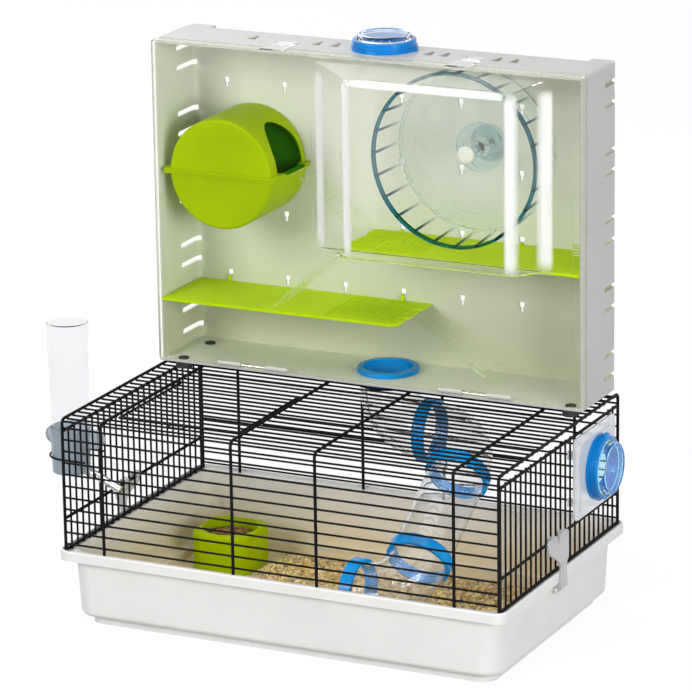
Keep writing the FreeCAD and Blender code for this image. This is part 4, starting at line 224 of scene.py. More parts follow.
class Tree:
    """A short way to add nodes to a node tree and to join them."""

    def __init__(self, tree):
        self.tree = tree

    def node(self, kind, **inputs):
        """A node with its inputs by name, with _ for each space."""
        made = self.tree.nodes.new(kind)
        for name, value in inputs.items():
            self.feed(made, name.replace("_", " "), value)
        return made

    def group(self, shared, **inputs):
        """A node that stands for a shared node group."""
        made = self.tree.nodes.new("ShaderNodeGroup")
        made.node_tree = shared
        for name, value in inputs.items():
            self.feed(made, name.replace("_", " "), value)
        return made

    def put(self, socket, value):
        """Links another node's output to an input, or sets its value."""
        if isinstance(value, bpy.types.NodeSocket):
            self.tree.links.new(value, socket)
        else:
            socket.default_value = value

    def feed(self, node, name, value):
        """The same for an input by its name."""
        self.put(node.inputs[name], value)

    def place(self):
        """Coordinates in the cage's own frame."""
        return self.node("ShaderNodeTexCoord").outputs["Object"]

    def axes(self, vector):
        """X, Y and Z of a vector."""
        return self.node("ShaderNodeSeparateXYZ", Vector=vector).outputs

    def maths(self, operation, first, second=0.0):
        """Two numbers joined by one operation."""
        made = self.tree.nodes.new("ShaderNodeMath")
        made.operation = operation
        self.put(made.inputs[0], first)
        self.put(made.inputs[1], second)
        return made.outputs[0]

    def vector_maths(self, operation, first, second):
        """Two vectors joined by one operation, as the node that does it."""
        made = self.tree.nodes.new("ShaderNodeVectorMath")
        made.operation = operation
        self.put(made.inputs[0], first)
        self.put(made.inputs[1], second)
        return made

    def spread(self, value, low, high, to_low, to_high):
        """Maps one range of numbers softly onto another."""
        made = self.tree.nodes.new("ShaderNodeMapRange")
        made.interpolation_type = "SMOOTHSTEP"
        self.feed(made, "Value", value)
        self.feed(made, "From Min", low)
        self.feed(made, "From Max", high)
        self.feed(made, "To Min", to_low)
        self.feed(made, "To Max", to_high)
        return made.outputs[0]

    def shader_mix(self, factor, first, second):
        """Two shaders mixed."""
        made = self.tree.nodes.new("ShaderNodeMixShader")
        self.put(made.inputs[0], factor)
        self.put(made.inputs[1], first)
        self.put(made.inputs[2], second)
        return made.outputs[0]

    def mixed(self, factor, first, second):
        """Two colours mixed."""
        made = self.tree.nodes.new("ShaderNodeMix")
        made.data_type = "RGBA"
        for name, value in (("Factor", factor), ("A", first), ("B", second)):
            self.put(next(socket for socket in made.inputs if socket.name == name and socket.enabled), value)
        return next(socket for socket in made.outputs if socket.enabled)


def group_tree(name, inputs, outputs):
    """A node group with its inputs as (name, kind, default) and outputs as (name, kind)."""
    group = bpy.data.node_groups.new(name, "ShaderNodeTree")
    for label, kind, default in inputs:
        socket = group.interface.new_socket(label, in_out="INPUT", socket_type=kind)
        socket.default_value = default
    for label, kind in outputs:
        group.interface.new_socket(label, in_out="OUTPUT", socket_type=kind)
    tree = Tree(group)
    return tree, group.nodes.new("NodeGroupInput"), group.nodes.new("NodeGroupOutput")


def moulded_plastic_group():
    """Faint clouding, fine grain and scuffs of moulded plastic."""
    name = "Moulded plastic"
    if name in bpy.data.node_groups:
        return bpy.data.node_groups[name]
    tree, given, result = group_tree(
        name,
        (
            ("Colour", "NodeSocketColor", WHITE),
            ("Clouding", "NodeSocketFloat", 0.04),
            ("Roughness", "NodeSocketFloat", 0.35),
            ("Scuffing", "NodeSocketFloat", 0.08),
            ("Grain scale", "NodeSocketFloat", 900.0),
        ),
        (
            ("Colour", "NodeSocketColor"),
            ("Roughness", "NodeSocketFloat"),
            ("Height", "NodeSocketFloat"),
        ),
    )
    place = tree.place()
    clouds = tree.node("ShaderNodeTexNoise", Vector=place, Scale=18.0, Detail=3.0, Roughness=0.55)
    grain = tree.node("ShaderNodeTexNoise", Vector=place, Scale=given.outputs["Grain scale"], Detail=2.0)
    stretched = tree.node("ShaderNodeMapping", Vector=place, Scale=(60.0, 60.0, 9.0))
    scuffs = tree.node("ShaderNodeTexNoise", Vector=stretched.outputs[0], Scale=9.0, Detail=5.0)
    darker = tree.node("ShaderNodeHueSaturation", Color=given.outputs["Colour"])
    amount = tree.spread(clouds.outputs[0], 0.35, 0.7, 0.0, given.outputs["Clouding"])
    tree.feed(darker, "Value", tree.maths("SUBTRACT", 1.0, amount))
    wear = tree.spread(scuffs.outputs[0], 0.45, 0.75, 0.0, given.outputs["Scuffing"])
    tree.feed(result, "Colour", darker.outputs[0])
    tree.feed(result, "Roughness", tree.maths("ADD", given.outputs["Roughness"], wear))
    tree.feed(result, "Height", grain.outputs[0])
    return tree.tree


def facing_inwards_group():
    """One on faces that look towards a point inside a hollow piece, zero on the others."""
    name = "Facing inwards"
    if name in bpy.data.node_groups:
        return bpy.data.node_groups[name]
    tree, given, result = group_tree(
        name, (("Middle", "NodeSocketVector", (0.0, 0.0, 0.0)),), (("Mask", "NodeSocketFloat"),)
    )
    place = tree.node("ShaderNodeTexCoord")
    inward = tree.vector_maths("SUBTRACT", given.outputs["Middle"], place.outputs["Object"])
    lean = tree.vector_maths("DOT_PRODUCT", place.outputs["Normal"], inward.outputs["Vector"])
    tree.feed(result, "Mask", tree.maths("GREATER_THAN", lean.outputs["Value"], 0.0))
    return tree.tree


def blank_material(name):
    """A material with only its output, and its tree."""
    material = bpy.data.materials.new(name)
    material.use_nodes = True
    material.node_tree.nodes.clear()
    tree = Tree(material.node_tree)
    return material, tree, tree.node("ShaderNodeOutputMaterial")


def plastic_surface(tree, colour, clouding, roughness, scuffing, grain, bump):
    """The shared plastic group and a Principled shader that reads it."""
    surface = tree.group(
        moulded_plastic_group(),
        Colour=colour,
        Clouding=clouding,
        Roughness=roughness,
        Scuffing=scuffing,
        Grain_scale=grain,
    )
    shader = tree.node("ShaderNodeBsdfPrincipled")
    tree.feed(shader, "Base Color", surface.outputs["Colour"])
    tree.feed(shader, "Roughness", surface.outputs["Roughness"])
    if bump:
        height = surface.outputs["Height"]
        relief = tree.node("ShaderNodeBump", Height=height, Strength=bump, Distance=GRAIN_DEPTH)
        tree.feed(shader, "Normal", relief.outputs[0])
    return shader


def base_colour(shader):
    """The output that gives a shader its base colour."""
    return shader.inputs["Base Color"].links[0].from_socket


def scatter(tree, shader, translucency):
    """Lets some light into a plastic."""
    tree.feed(shader, "Subsurface Weight", translucency)
    tree.feed(shader, "Subsurface Radius", SCATTER_RADIUS)
    tree.feed(shader, "Subsurface Scale", SCATTER_SCALE)


def moulded(name, colour, roughness=0.35, clouding=0.05, grain=900.0, bump=0.12, translucency=0.0,
            coat=0.0, gloss=0.5):
    """Opaque moulded plastic."""
    material, tree, output = blank_material(name)
    shader = plastic_surface(tree, colour, clouding, roughness, 0.08, grain, bump)
    scatter(tree, shader, translucency)
    tree.feed(shader, "Specular IOR Level", gloss)
    tree.feed(shader, "Coat Weight", coat)
    tree.feed(shader, "Coat Roughness", 0.12)
    tree.feed(output, "Surface", shader.outputs[0])
    return material


def clear_shader(tree, shader, ior, shadow=WHITE):
    """Turns a shader clear and lets the light of lamps and bounces straight through it."""
    tree.feed(shader, "Transmission Weight", 1.0)
    tree.feed(shader, "IOR", ior)
    open_side = tree.node("ShaderNodeBsdfTransparent", Color=shadow)
    path = tree.node("ShaderNodeLightPath")
    passing = tree.maths("MAXIMUM", path.outputs["Is Shadow Ray"], path.outputs["Is Diffuse Ray"])
    return tree.shader_mix(passing, shader.outputs[0], open_side.outputs[0])


def with_skin(tree, output, clear, haze_and_highlight_colour, share):
    """Covers a clear shader with a white skin where share says so: whitish haze where the plastic is cloudy,
    and painted highlights along edges and bends.
    """
    skin = plastic_surface(tree, haze_and_highlight_colour, 0.03, 0.3, 0.05, 700.0, 0.05)
    tree.feed(output, "Surface", tree.shader_mix(share, clear, skin.outputs[0]))


def see_through(name, colour, haze_and_highlight_colour, roughness=0.03, ior=1.15, shadow=WHITE, rim=0.5, haze=0.0,
                grain=500.0, bump=0.0, bends=None):
    """Clear plastic that lets light through to what is behind it, with an even whitish haze and painted
    highlights of white along its edges, where they are seen edge on, and along given bends.
    """
    material, tree, output = blank_material(name)
    shader = plastic_surface(tree, colour, 0.02, roughness, 0.03, grain, bump)
    clear = clear_shader(tree, shader, ior, shadow)
    facing = tree.node("ShaderNodeLayerWeight", Blend=0.5).outputs["Facing"]
    # Painted highlight: a white skin where the surface is seen edge on
    share = tree.spread(facing, 0.8, 1.0, haze, rim)
    if bends:
        share = tree.maths("MAXIMUM", share, bends(tree))
    with_skin(tree, output, clear, haze_and_highlight_colour, share)
    return material


def bulge_front():
    """Left, right, lower and upper edge of the flat front of the cover's bulge, and its depth."""
    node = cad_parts["front_cover"]
    spots = [node.matrix_world @ vert.co for vert in node.data.vertices]
    nearest = min(spot.y for spot in spots)
    front = [spot for spot in spots if spot.y < nearest + 0.0005]
    across = [spot.x for spot in front]
    upright = [spot.z for spot in front]
    return min(across), max(across), min(upright), max(upright), nearest


def soft_strip(tree, value, centre, core, soft):
    """One inside a strip, falling softly to nothing on both sides."""
    away = tree.maths("ABSOLUTE", tree.maths("SUBTRACT", value, centre))
    return tree.spread(away, core, core + soft, 1.0, 0.0)


def upright_bend_highlights(tree, spot, edges):
    """Painted highlights: white strips up the bends beside the bulge's front, where light glints."""
    left, right, lower, upper, _ = edges
    sides = {"left": left, "right": right}
    strips = 0.0
    for side, offset, core, soft, level in UPRIGHT_BEND_HIGHLIGHTS:
        strip = soft_strip(tree, spot["X"], sides[side] + offset, core, soft)
        strips = tree.maths("MAXIMUM", strips, tree.maths("MULTIPLY", strip, level))
    bottom = tree.spread(spot["Z"], lower - 0.008, lower + 0.010, 0.0, 1.0)
    top = tree.spread(spot["Z"], upper - 0.004, upper + 0.008, 1.0, 0.0)
    return tree.maths("MULTIPLY", strips, tree.maths("MULTIPLY", bottom, top))


def top_bend_highlight(tree, spot, edges):
    """Painted highlight: a white strip along the bend over the bulge's front, where light glints."""
    left, right, _, upper, _ = edges
    rise, core, soft = TOP_BEND_HIGHLIGHT
    strip = soft_strip(tree, spot["Z"], upper + rise, core, soft)
    start = tree.spread(spot["X"], left - 0.004, left + 0.012, 0.0, 0.8)
    end = tree.spread(spot["X"], right - 0.012, right + 0.004, 1.0, 0.0)
    return tree.maths("MULTIPLY", strip, tree.maths("MULTIPLY", start, end))


def cover_bend_highlights(tree):
    """How white the cover is painted: painted highlights in soft strips along the bends of its bulge, and
    over it a faint, uneven haze that is a painted reflection.
    """
    edges = bulge_front()
    lower, nearest = edges[2], edges[4]
    place = tree.place()
    spot = tree.axes(place)
    tall = tree.node("ShaderNodeMapping", Vector=place, Scale=(30.0, 30.0, 7.0))
    patches = tree.node("ShaderNodeTexNoise", Vector=tall.outputs[0], Scale=1.0, Detail=2.0).outputs[0]
    glow = tree.maths("MAXIMUM", upright_bend_highlights(tree, spot, edges), top_bend_highlight(tree, spot, edges))
    end = nearest + BEND_HIGHLIGHTS_END
    front = tree.spread(spot["Y"], end - 0.0005, end + 0.0005, 1.0, 0.0)
    uneven = tree.spread(patches, 0.25, 0.6, 0.6, 1.0)
    glow = tree.maths("MULTIPLY", tree.maths("MULTIPLY", glow, front), uneven)
    # Painted reflection: a faint uneven white haze over the bulge
    above = tree.spread(spot["Z"], lower + 0.035, lower + 0.090, 0.0, 1.0)
    haze = tree.maths("MULTIPLY", tree.spread(patches, 0.3, 0.7, 0.01, 0.08), above)
    end = nearest + REFLECTION_HAZE_END
    before = tree.spread(spot["Y"], end - 0.0006, end + 0.0006, 1.0, 0.0)
    return tree.maths("MAXIMUM", glow, tree.maths("MULTIPLY", before, haze))


def tinted_clear(name, colour, edge, haze_and_highlight_colour, low, high, least=0.0, rim=0.0, fade=None, far_colour=None):
    """Tinted clear plastic whose tint deepens where it is seen edge on, and fades towards the back, with a
    painted highlight of white where it is seen most nearly edge on.
    """
    material, tree, output = blank_material(name)
    facing = tree.node("ShaderNodeLayerWeight", Blend=0.5).outputs["Facing"]
    shader = plastic_surface(tree, colour, 0.03, 0.05, 0.04, 600.0, 0.0)
    tone = tree.mixed(tree.spread(facing, low, high, least, 1.0), base_colour(shader), edge)
    if fade:
        far = tree.spread(tree.axes(tree.place())["Y"], fade[0], fade[1], 0.0, 0.92)
        tone = tree.mixed(far, tone, far_colour)
    tree.feed(shader, "Base Color", tone)
    clear = clear_shader(tree, shader, 1.12)
    # Painted highlight: a white skin where the surface is seen edge on
    with_skin(tree, output, clear, haze_and_highlight_colour, tree.spread(facing, 0.8, 1.0, 0.0, rim))
    return material


def coated_wire(name, colour):
    """Black coating with small runs and a soft shine."""
    material, tree, output = blank_material(name)
    shader = plastic_surface(tree, colour, 0.2, 0.5, 0.2, 700.0, 0.25)
    tree.feed(shader, "Specular IOR Level", 0.08)
    tree.feed(output, "Surface", shader.outputs[0])
    return material


def tray_plastic(name, colour, dust):
    """Pale tray plastic with wood dust that thickens towards the floor inside."""
    material, tree, output = blank_material(name)
    shader = plastic_surface(tree, colour, 0.05, 0.38, 0.08, 1100.0, 0.12)
    low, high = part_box("tray")
    inside = tree.group(facing_inwards_group(), Middle=(0.0, 0.0, high.z - 0.006)).outputs["Mask"]
    place = tree.place()
    patches = tree.node("ShaderNodeTexNoise", Vector=place, Scale=24.0, Detail=4.0, Roughness=0.6)
    depth = tree.spread(tree.axes(place)["Z"], low.z + 0.004, high.z, 0.9, 0.1)
    cover = tree.maths("MULTIPLY", depth, tree.spread(patches.outputs[0], 0.25, 0.65, 0.65, 1.0))
    share = tree.maths("MULTIPLY", inside, cover)
    tree.feed(shader, "Base Color", tree.mixed(share, base_colour(shader), dust))
    tree.feed(output, "Surface", shader.outputs[0])
    return material


def painted_low_wall_shade(tree, middle):
    """Painted shade with painted green bounce light: one on upright walls at the case's floor, falling to
    nothing higher up.
    """
    bottom = 2 * middle.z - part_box("rear_shell")[1].z
    normal = tree.node("ShaderNodeNewGeometry").outputs["Normal"]
    walls = tree.spread(tree.axes(normal)["Z"], 0.4, 0.9, 1.0, 0.0)
    low = tree.spread(tree.axes(tree.place())["Z"], bottom, bottom + CASE_PAINTED_SHADE_REACH, 1.0, 0.0)
    return tree.maths("MULTIPLY", walls, low)


def plastic_with_painted_inside_shading(name, colour, painted_inside_colour, middle, clouding=0.05, gloss=0.2, translucency=0.0,
                      painted_low_shade_colour=None):
    """Moulded plastic of a hollow piece, in another tone on the faces that look inwards: painted light where
    that tone is lighter, painted shade where it is darker, and painted shade with green bounce light low on
    the walls when a low colour is given.
    """
    material, tree, output = blank_material(name)
    shader = plastic_surface(tree, colour, clouding, 0.36, 0.08, 1000.0, 0.12)
    inside = painted_inside_colour
    if painted_low_shade_colour:
        inside = tree.mixed(painted_low_wall_shade(tree, middle), painted_inside_colour, painted_low_shade_colour)
    mask = tree.group(facing_inwards_group(), Middle=middle).outputs["Mask"]
    tree.feed(shader, "Base Color", tree.mixed(mask, base_colour(shader), inside))
    tree.feed(shader, "Specular IOR Level", gloss)
    scatter(tree, shader, translucency)
    tree.feed(output, "Surface", shader.outputs[0])
    return material


def middle_of(*names):
    """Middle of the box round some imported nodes."""
    boxes = [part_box(name) for name in names]
    low = Vector([min(box[0][axis] for box in boxes) for axis in range(3)])
    high = Vector([max(box[1][axis] for box in boxes) for axis in range(3)])
    return (low + high) / 2


def polished_steel(name, colour):
    """Steel with fine lines along the part."""
    material, tree, output = blank_material(name)
    shader = plastic_surface(tree, colour, 0.08, 0.16, 0.2, 1500.0, 0.08)
    tree.feed(shader, "Metallic", 1.0)
    tree.feed(output, "Surface", shader.outputs[0])
    return material


def wood_chip(name, colour):
    """Dry wood or food whose tone changes from piece to piece."""
    material, tree, output = blank_material(name)
    place = tree.place()
    cells = tree.node("ShaderNodeTexVoronoi", Vector=place, Scale=CHIP_CELLS)
    fibres = tree.node("ShaderNodeTexNoise", Vector=place, Scale=1200.0, Detail=3.0).outputs[0]
    tone = tree.node("ShaderNodeSeparateColor", Color=cells.outputs["Color"])
    shade = tree.node("ShaderNodeHueSaturation", Color=colour)
    value = tree.spread(tone.outputs[0], 0.0, 1.0, 1.0 - CHIP_SPREAD, 1.0 + CHIP_SPREAD * 0.3)
    tree.feed(shade, "Value", value)
    tree.feed(shade, "Saturation", tree.spread(tone.outputs[1], 0.0, 1.0, 0.9, 1.3))
    shader = tree.node("ShaderNodeBsdfPrincipled")
    relief = tree.node("ShaderNodeBump", Height=fibres, Strength=0.5, Distance=FIBRE_DEPTH)
    tree.feed(shader, "Base Color", shade.outputs[0])
    tree.feed(shader, "Roughness", tree.spread(fibres, 0.3, 0.7, 0.65, 0.9))
    tree.feed(shader, "Normal", relief.outputs[0])
    tree.feed(output, "Surface", shader.outputs[0])
    return material


def finish_nodes(material, *names):
    """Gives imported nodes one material. Their meshes stay as packed."""
    for name in names:
        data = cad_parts[name].data
        data.materials.clear()
        data.materials.append(material)


def add_piece(name, mesh, body, slot, material, *replaced):
    """Links a new mesh as a piece of one body."""
    piece = bpy.data.objects.new(name, mesh)
    bpy.context.scene.collection.objects.link(piece)
    mesh.materials.append(material)
    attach(piece, body)
    if replaced:
        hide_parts(*replaced)
    return piece


# Loose pieces


def tumbled(rng, tilt):
    """A random turn that lies mostly flat."""
    turn = Matrix.Rotation(rng.uniform(0.0, math.tau), 3, "Z")
    lean = Matrix.Rotation(rng.gauss(0.0, tilt), 3, "X")
    roll = Matrix.Rotation(rng.gauss(0.0, tilt), 3, "Y")
    return turn @ lean @ roll


def add_chip(mesh, rng, centre, length, tilt=0.5):
    """One bent, uneven flake with a real thickness."""
    width = length * rng.uniform(0.35, 0.75)
    thick = length * rng.uniform(0.14, 0.3)
    curl = rng.uniform(-0.25, 0.35) * length
    turn = tumbled(rng, tilt)
    rows = []
    for along in (-0.5, 0.0, 0.5):
        lift = curl * (0.25 - along * along)
        taper = 1.0 - abs(along) * rng.uniform(0.2, 0.9)
        ring = []
        for across, level in ((-0.5, -0.5), (0.5, -0.5), (0.5, 0.5), (-0.5, 0.5)):
            spot = Vector((along * length, across * width * taper, lift + level * thick))
            ring.append(mesh.verts.new(turn @ spot + centre))
        rows.append(ring)
    for first, second in zip(rows, rows[1:]):
        for index in range(4):
            after = (index + 1) % 4
            mesh.faces.new((first[index], first[after], second[after], second[index]))
    mesh.faces.new(tuple(reversed(rows[0])))
    mesh.faces.new(tuple(rows[-1]))


def add_pellet(mesh, rng, centre, length, radius):
    """One rounded stick or seed."""
    turn = tumbled(rng, 1.2)
    rings = []
    for along, share in ((-0.5, 0.55), (-0.38, 0.95), (0.0, 1.0), (0.38, 0.95), (0.5, 0.55)):
        reach = radius * share
        ring = []
        for index in range(PELLET_SIDES):
            angle = math.tau * index / PELLET_SIDES
            spot = Vector((along * length, reach * math.cos(angle), reach * math.sin(angle)))
            ring.append(mesh.verts.new(turn @ spot + centre))
        rings.append(ring)
    for first, second in zip(rings, rings[1:]):
        for index in range(PELLET_SIDES):
            after = (index + 1) % PELLET_SIDES
            face = mesh.faces.new((first[index], first[after], second[after], second[index]))
            face.smooth = True
    mesh.faces.new(tuple(reversed(rings[0])))
    mesh.faces.new(tuple(rings[-1]))


def bedding_outline():
    """Corners of the strewn part of the tray floor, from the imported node's box and the bowl's."""
    low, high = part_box("bedding")
    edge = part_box("food_bowl")[1].x + 0.003
    return [
        (low.x + 0.014, low.y),
        (high.x, low.y),
        (high.x, high.y),
        (edge + 0.006, high.y),
        (edge, 0.070),
        (edge, 0.035),
        (low.x, 0.028),
        (low.x + 0.014, -0.020),
    ]


def inside(point, corners):
    """True where a point lies within a closed outline."""
    x, y = point
    crossings = 0
    for (x0, y0), (x1, y1) in zip(corners, corners[1:] + corners[:1]):
        if (y0 > y) != (y1 > y) and x < x0 + (y - y0) * (x1 - x0) / (y1 - y0):
            crossings += 1
    return crossings % 2 == 1


def edge_distance(point, corners):
    """Distance from a point to the outline."""
    spot = Vector(point)
    nearest = 1.0
    for first, second in zip(corners, corners[1:] + corners[:1]):
        start = Vector(first)
        run = Vector(second) - start
        share = max(0.0, min(1.0, (spot - start).dot(run) / run.length_squared))
        nearest = min(nearest, (start + run * share - spot).length)
    return nearest


def bedding_height(x, y, corners):
    """Height of the strewn bedding over its lowest level, thin at its edge and heaped in the middle."""
    margin = edge_distance((x, y), corners)
    rise = min(1.0, margin / BED_EDGE)
    across = (x - BED_HEAP_MIDDLE[0]) / BED_HEAP_SPREAD[0]
    along = (y - BED_HEAP_MIDDLE[1]) / BED_HEAP_SPREAD[1]
    heap = BED_HEAP * math.exp(-(across ** 2 + along ** 2))
    height, scale = BED_ROUGH
    rough = height * noise.fractal(Vector((x * scale, y * scale, 0.3)), 1.0, 2.0, 3)
    height, scale = BED_WAVES
    waves = height * noise.noise(Vector((x * scale, y * scale, 2.0)))
    return rise * (BED_THIN + heap + rough + waves)


def bed_grid(mesh, low, high, step, floor, corners):
    """The bed's upper points by their column and row."""
    grid = {}
    for column in range(int((high.x - low.x) / step) + 2):
        for row in range(int((high.y - low.y) / step) + 2):
            x = min(low.x + column * step, high.x)
            y = min(low.y + row * step, high.y)
            if inside((min(x, high.x - 1e-5), min(y, high.y - 1e-5)), corners):
                height = max(0.0004, bedding_height(x, y, corners))
                grid[column, row] = mesh.verts.new((x, y, floor + height))
    return grid


def fill_grid(mesh, grid):
    """Faces between neighbouring points, where their cell has a real width."""
    for column, row in list(grid):
        keys = ((column, row), (column + 1, row), (column + 1, row + 1), (column, row + 1))
        if all(key in grid for key in keys):
            spots = [grid[key] for key in keys]
            if (spots[0].co - spots[2].co).length > 1e-4:
                mesh.faces.new(spots).smooth = True


def close_bed(mesh, floor):
    """Drops lone points and brings the bed's border down to the tray floor."""
    mesh.verts.ensure_lookup_table()
    lone = [vert for vert in mesh.verts if not vert.link_faces]
    bmesh.ops.delete(mesh, geom=lone, context="VERTS")
    border = [edge for edge in mesh.edges if edge.is_boundary]
    for part in bmesh.ops.extrude_edge_only(mesh, edges=border)["geom"]:
        if isinstance(part, bmesh.types.BMVert):
            part.co.z = floor


def strew_chips(mesh, fill, low, high, floor, corners):
    """Loose flakes over the bed."""
    rng = random.Random(fill.seed)
    for _ in range(fill.chip_count):
        x = rng.uniform(low.x + 0.003, high.x - 0.003)
        y = rng.uniform(low.y + 0.003, high.y - 0.003)
        if not inside((x, y), corners) or edge_distance((x, y), corners) < 0.0025:
            continue
        length = fill.chip_length * rng.uniform(0.6, 1.5)
        height = bedding_height(x, y, corners) + rng.uniform(-0.0004, 0.0012)
        top = high.z - length * 0.45
        add_chip(mesh, rng, Vector((x, y, min(floor + height + 0.0006, top))), length)


def finished_mesh(mesh, name):
    """Turns a mesh under construction into a mesh of the scene."""
    bmesh.ops.recalc_face_normals(mesh, faces=mesh.faces)
    data = bpy.data.meshes.new(name)
    mesh.to_mesh(data)
    mesh.free()
    return data


def build_bedding(fill, material):
    """The strewn shavings as one uneven bed with loose flakes on and round it."""
    low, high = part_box("bedding")
    corners = bedding_outline()
    floor = low.z + 0.0002
    mesh = bmesh.new()
    fill_grid(mesh, bed_grid(mesh, low, high, fill.grid_step, floor, corners))
    close_bed(mesh, floor)
    strew_chips(mesh, fill, low, high, floor, corners)
    data = finished_mesh(mesh, "wood_shavings")
    return add_piece("wood_shavings", data, "tray", "bedding", material, "bedding")


def food_spot(rng, centre, radius, crown):
    """A random place in the heap, which falls towards its rim."""
    reach = radius * math.sqrt(rng.random())
    angle = rng.uniform(0.0, math.tau)
    slope = FOOD_SLOPE * (reach / radius) ** 2
    z = crown - slope - abs(rng.gauss(0.0, 0.0014)) - 0.0012
    return Vector((centre.x + reach * math.cos(angle), centre.y + reach * math.sin(angle), z))


def add_food_base(mesh, centre, radius, low, high):
    """The body of the heap under its loose pieces."""
    base = bmesh.ops.create_cone(
        mesh, cap_ends=True, segments=48, radius1=radius * 0.98, radius2=radius * 0.86, depth=high - low
    )
    middle = Vector((centre.x, centre.y, (high + low) / 2))
    bmesh.ops.translate(mesh, verts=base["verts"], vec=middle)


def build_food(fill, materials):
    """Green sticks, orange flakes and pale seeds heaped in the bowl."""
    low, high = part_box("food_mix")
    centre = (low + high) / 2
    radius = (high.x - low.x) / 2 - 0.002
    crown = high.z - FOOD_CROWN
    rng = random.Random(fill.seed + 1)
    heaps = {kind: bmesh.new() for kind in materials}
    kinds = tuple(materials)
    for index in range(fill.food_count):
        kind = kinds[index % len(kinds)]
        spot = food_spot(rng, centre, radius, crown)
        length = rng.uniform(*FOOD_LENGTHS[kind])
        if kind in FOOD_RADIUS:
            add_pellet(heaps[kind], rng, spot, length, FOOD_RADIUS[kind])
        else:
            add_chip(heaps[kind], rng, spot, length, 0.8)
    add_food_base(heaps["food_seeds"], centre, radius, low.z, crown - FOOD_DEPTH)
    for kind, mesh in heaps.items():
        replaced = ("food_mix",) if kind == "food_seeds" else ()
        add_piece(kind, finished_mesh(mesh, kind), "food_bowl", "food", materials[kind], *replaced)


# Stage


def add_lamp(name, place, size, power):
    """A soft rectangular lamp that faces the cage."""
    data = bpy.data.lights.new(name, "AREA")
    data.shape = "RECTANGLE"
    data.size, data.size_y = size
    data.energy = power
    lamp = bpy.data.objects.new(name, data)
    lamp.location = place
    aim = Vector(LAMP_TARGET) - Vector(place)
    lamp.rotation_euler = aim.to_track_quat("-Z", "Y").to_euler()
    bpy.context.scene.collection.objects.link(lamp)


def build_camera(stage):
    """The photograph's viewpoint."""
    azimuth, elevation = math.radians(stage.azimuth), math.radians(stage.elevation)
    level = math.cos(elevation)
    back = Vector((math.sin(azimuth) * level, -math.cos(azimuth) * level, math.sin(elevation)))
    right = (-back).cross(Vector((0.0, 0.0, 1.0))).normalized()
    up = back.cross(right)
    roll = math.radians(stage.roll)
    turned_right = right * math.cos(roll) + up * math.sin(roll)
    turned_up = up * math.cos(roll) - right * math.sin(roll)
    data = bpy.data.cameras.new("camera")
    data.sensor_width = SENSOR_WIDTH
    data.lens = stage.focal_ratio * data.sensor_width
    data.clip_end = 50.0
    camera = bpy.data.objects.new("camera", data)
    turn = Matrix((turned_right, turned_up, back)).transposed().to_4x4()
    camera.matrix_world = Matrix.Translation(Vector(CAMERA_TARGET) + back * stage.distance) @ turn
    bpy.context.scene.collection.objects.link(camera)
    bpy.context.scene.camera = camera


def plainly_seen(tree):
    """One for what the camera sees, by itself and in gloss and clear plastic."""
    path = tree.node("ShaderNodeLightPath")
    seen = tree.maths("MAXIMUM", path.outputs["Is Camera Ray"], path.outputs["Is Transmission Ray"])
    return tree.maths("MAXIMUM", seen, path.outputs["Is Glossy Ray"])


def build_world(strength):
    """An even pale room that shows as white to the camera and in gloss and clear plastic."""
    world = bpy.data.worlds.new("room")
    world.use_nodes = True
    world.node_tree.nodes.clear()
    tree = Tree(world.node_tree)
    level = tree.spread(plainly_seen(tree), 0.0, 1.0, strength, 1.0)
    room = tree.node("ShaderNodeBackground", Color=WHITE, Strength=level)
    output = tree.node("ShaderNodeOutputWorld")
    tree.feed(output, "Surface", room.outputs[0])
    bpy.context.scene.world = world


def build_floor(colour):
    """A white floor that keeps a faint shadow."""
    material, tree, output = blank_material("floor")
    diffuse = tree.node("ShaderNodeBsdfDiffuse", Color=colour)
    glow = tree.node("ShaderNodeEmission", Color=WHITE, Strength=FLOOR_GLOW)
    share = tree.maths("MULTIPLY", plainly_seen(tree), FLOOR_GLOW_SHARE)
    tree.feed(output, "Surface", tree.shader_mix(share, diffuse.outputs[0], glow.outputs[0]))
    mesh = bmesh.new()
    bmesh.ops.create_grid(mesh, x_segments=2, y_segments=2, size=FLOOR_SIZE)
    data = bpy.data.meshes.new("floor")
    mesh.to_mesh(data)
    mesh.free()
    data.materials.append(material)
    floor = bpy.data.objects.new("floor", data)
    floor.location.z = -FLOOR_DROP
    bpy.context.scene.collection.objects.link(floor)


# Operators


class CAGE_OT_tray(bpy.types.Operator):
    """Finish the tray and its end clips"""

    bl_idname = "cage.tray"
    bl_label = "Tray and clips"

    def execute(self, context):
        colours = context.scene.cage_colours
        finish_nodes(tray_plastic("Tray plastic", colours.tray, colours.dust), "tray")
        clip = see_through(
            "Clip plastic", colours.clip_clear, colours.clip, roughness=0.15, ior=1.2, haze=0.6, rim=0.8
        )
        finish_nodes(clip, "left_end_clip", "right_end_clip")
        return {"FINISHED"}


class CAGE_OT_bedding(bpy.types.Operator):
    """Strew the shavings over the tray floor"""

    bl_idname = "cage.bedding"
    bl_label = "Bedding"

    def execute(self, context):
        scene = context.scene
        build_bedding(scene.cage_fill, wood_chip("Wood shavings", scene.cage_colours.shaving))
        return {"FINISHED"}


class CAGE_OT_wires(bpy.types.Operator):
    """Coat the wire panels, the roof door and the bottle's strap"""

    bl_idname = "cage.wires"
    bl_label = "Wires"

    def execute(self, context):
        coating = coated_wire("Wire coating", context.scene.cage_colours.wire)
        panels = [side + "_grille" for side in ("front", "back", "roof", "left_end", "right_end")]
        finish_nodes(coating, "roof_door", "holder_strap", *panels)
        return {"FINISHED"}


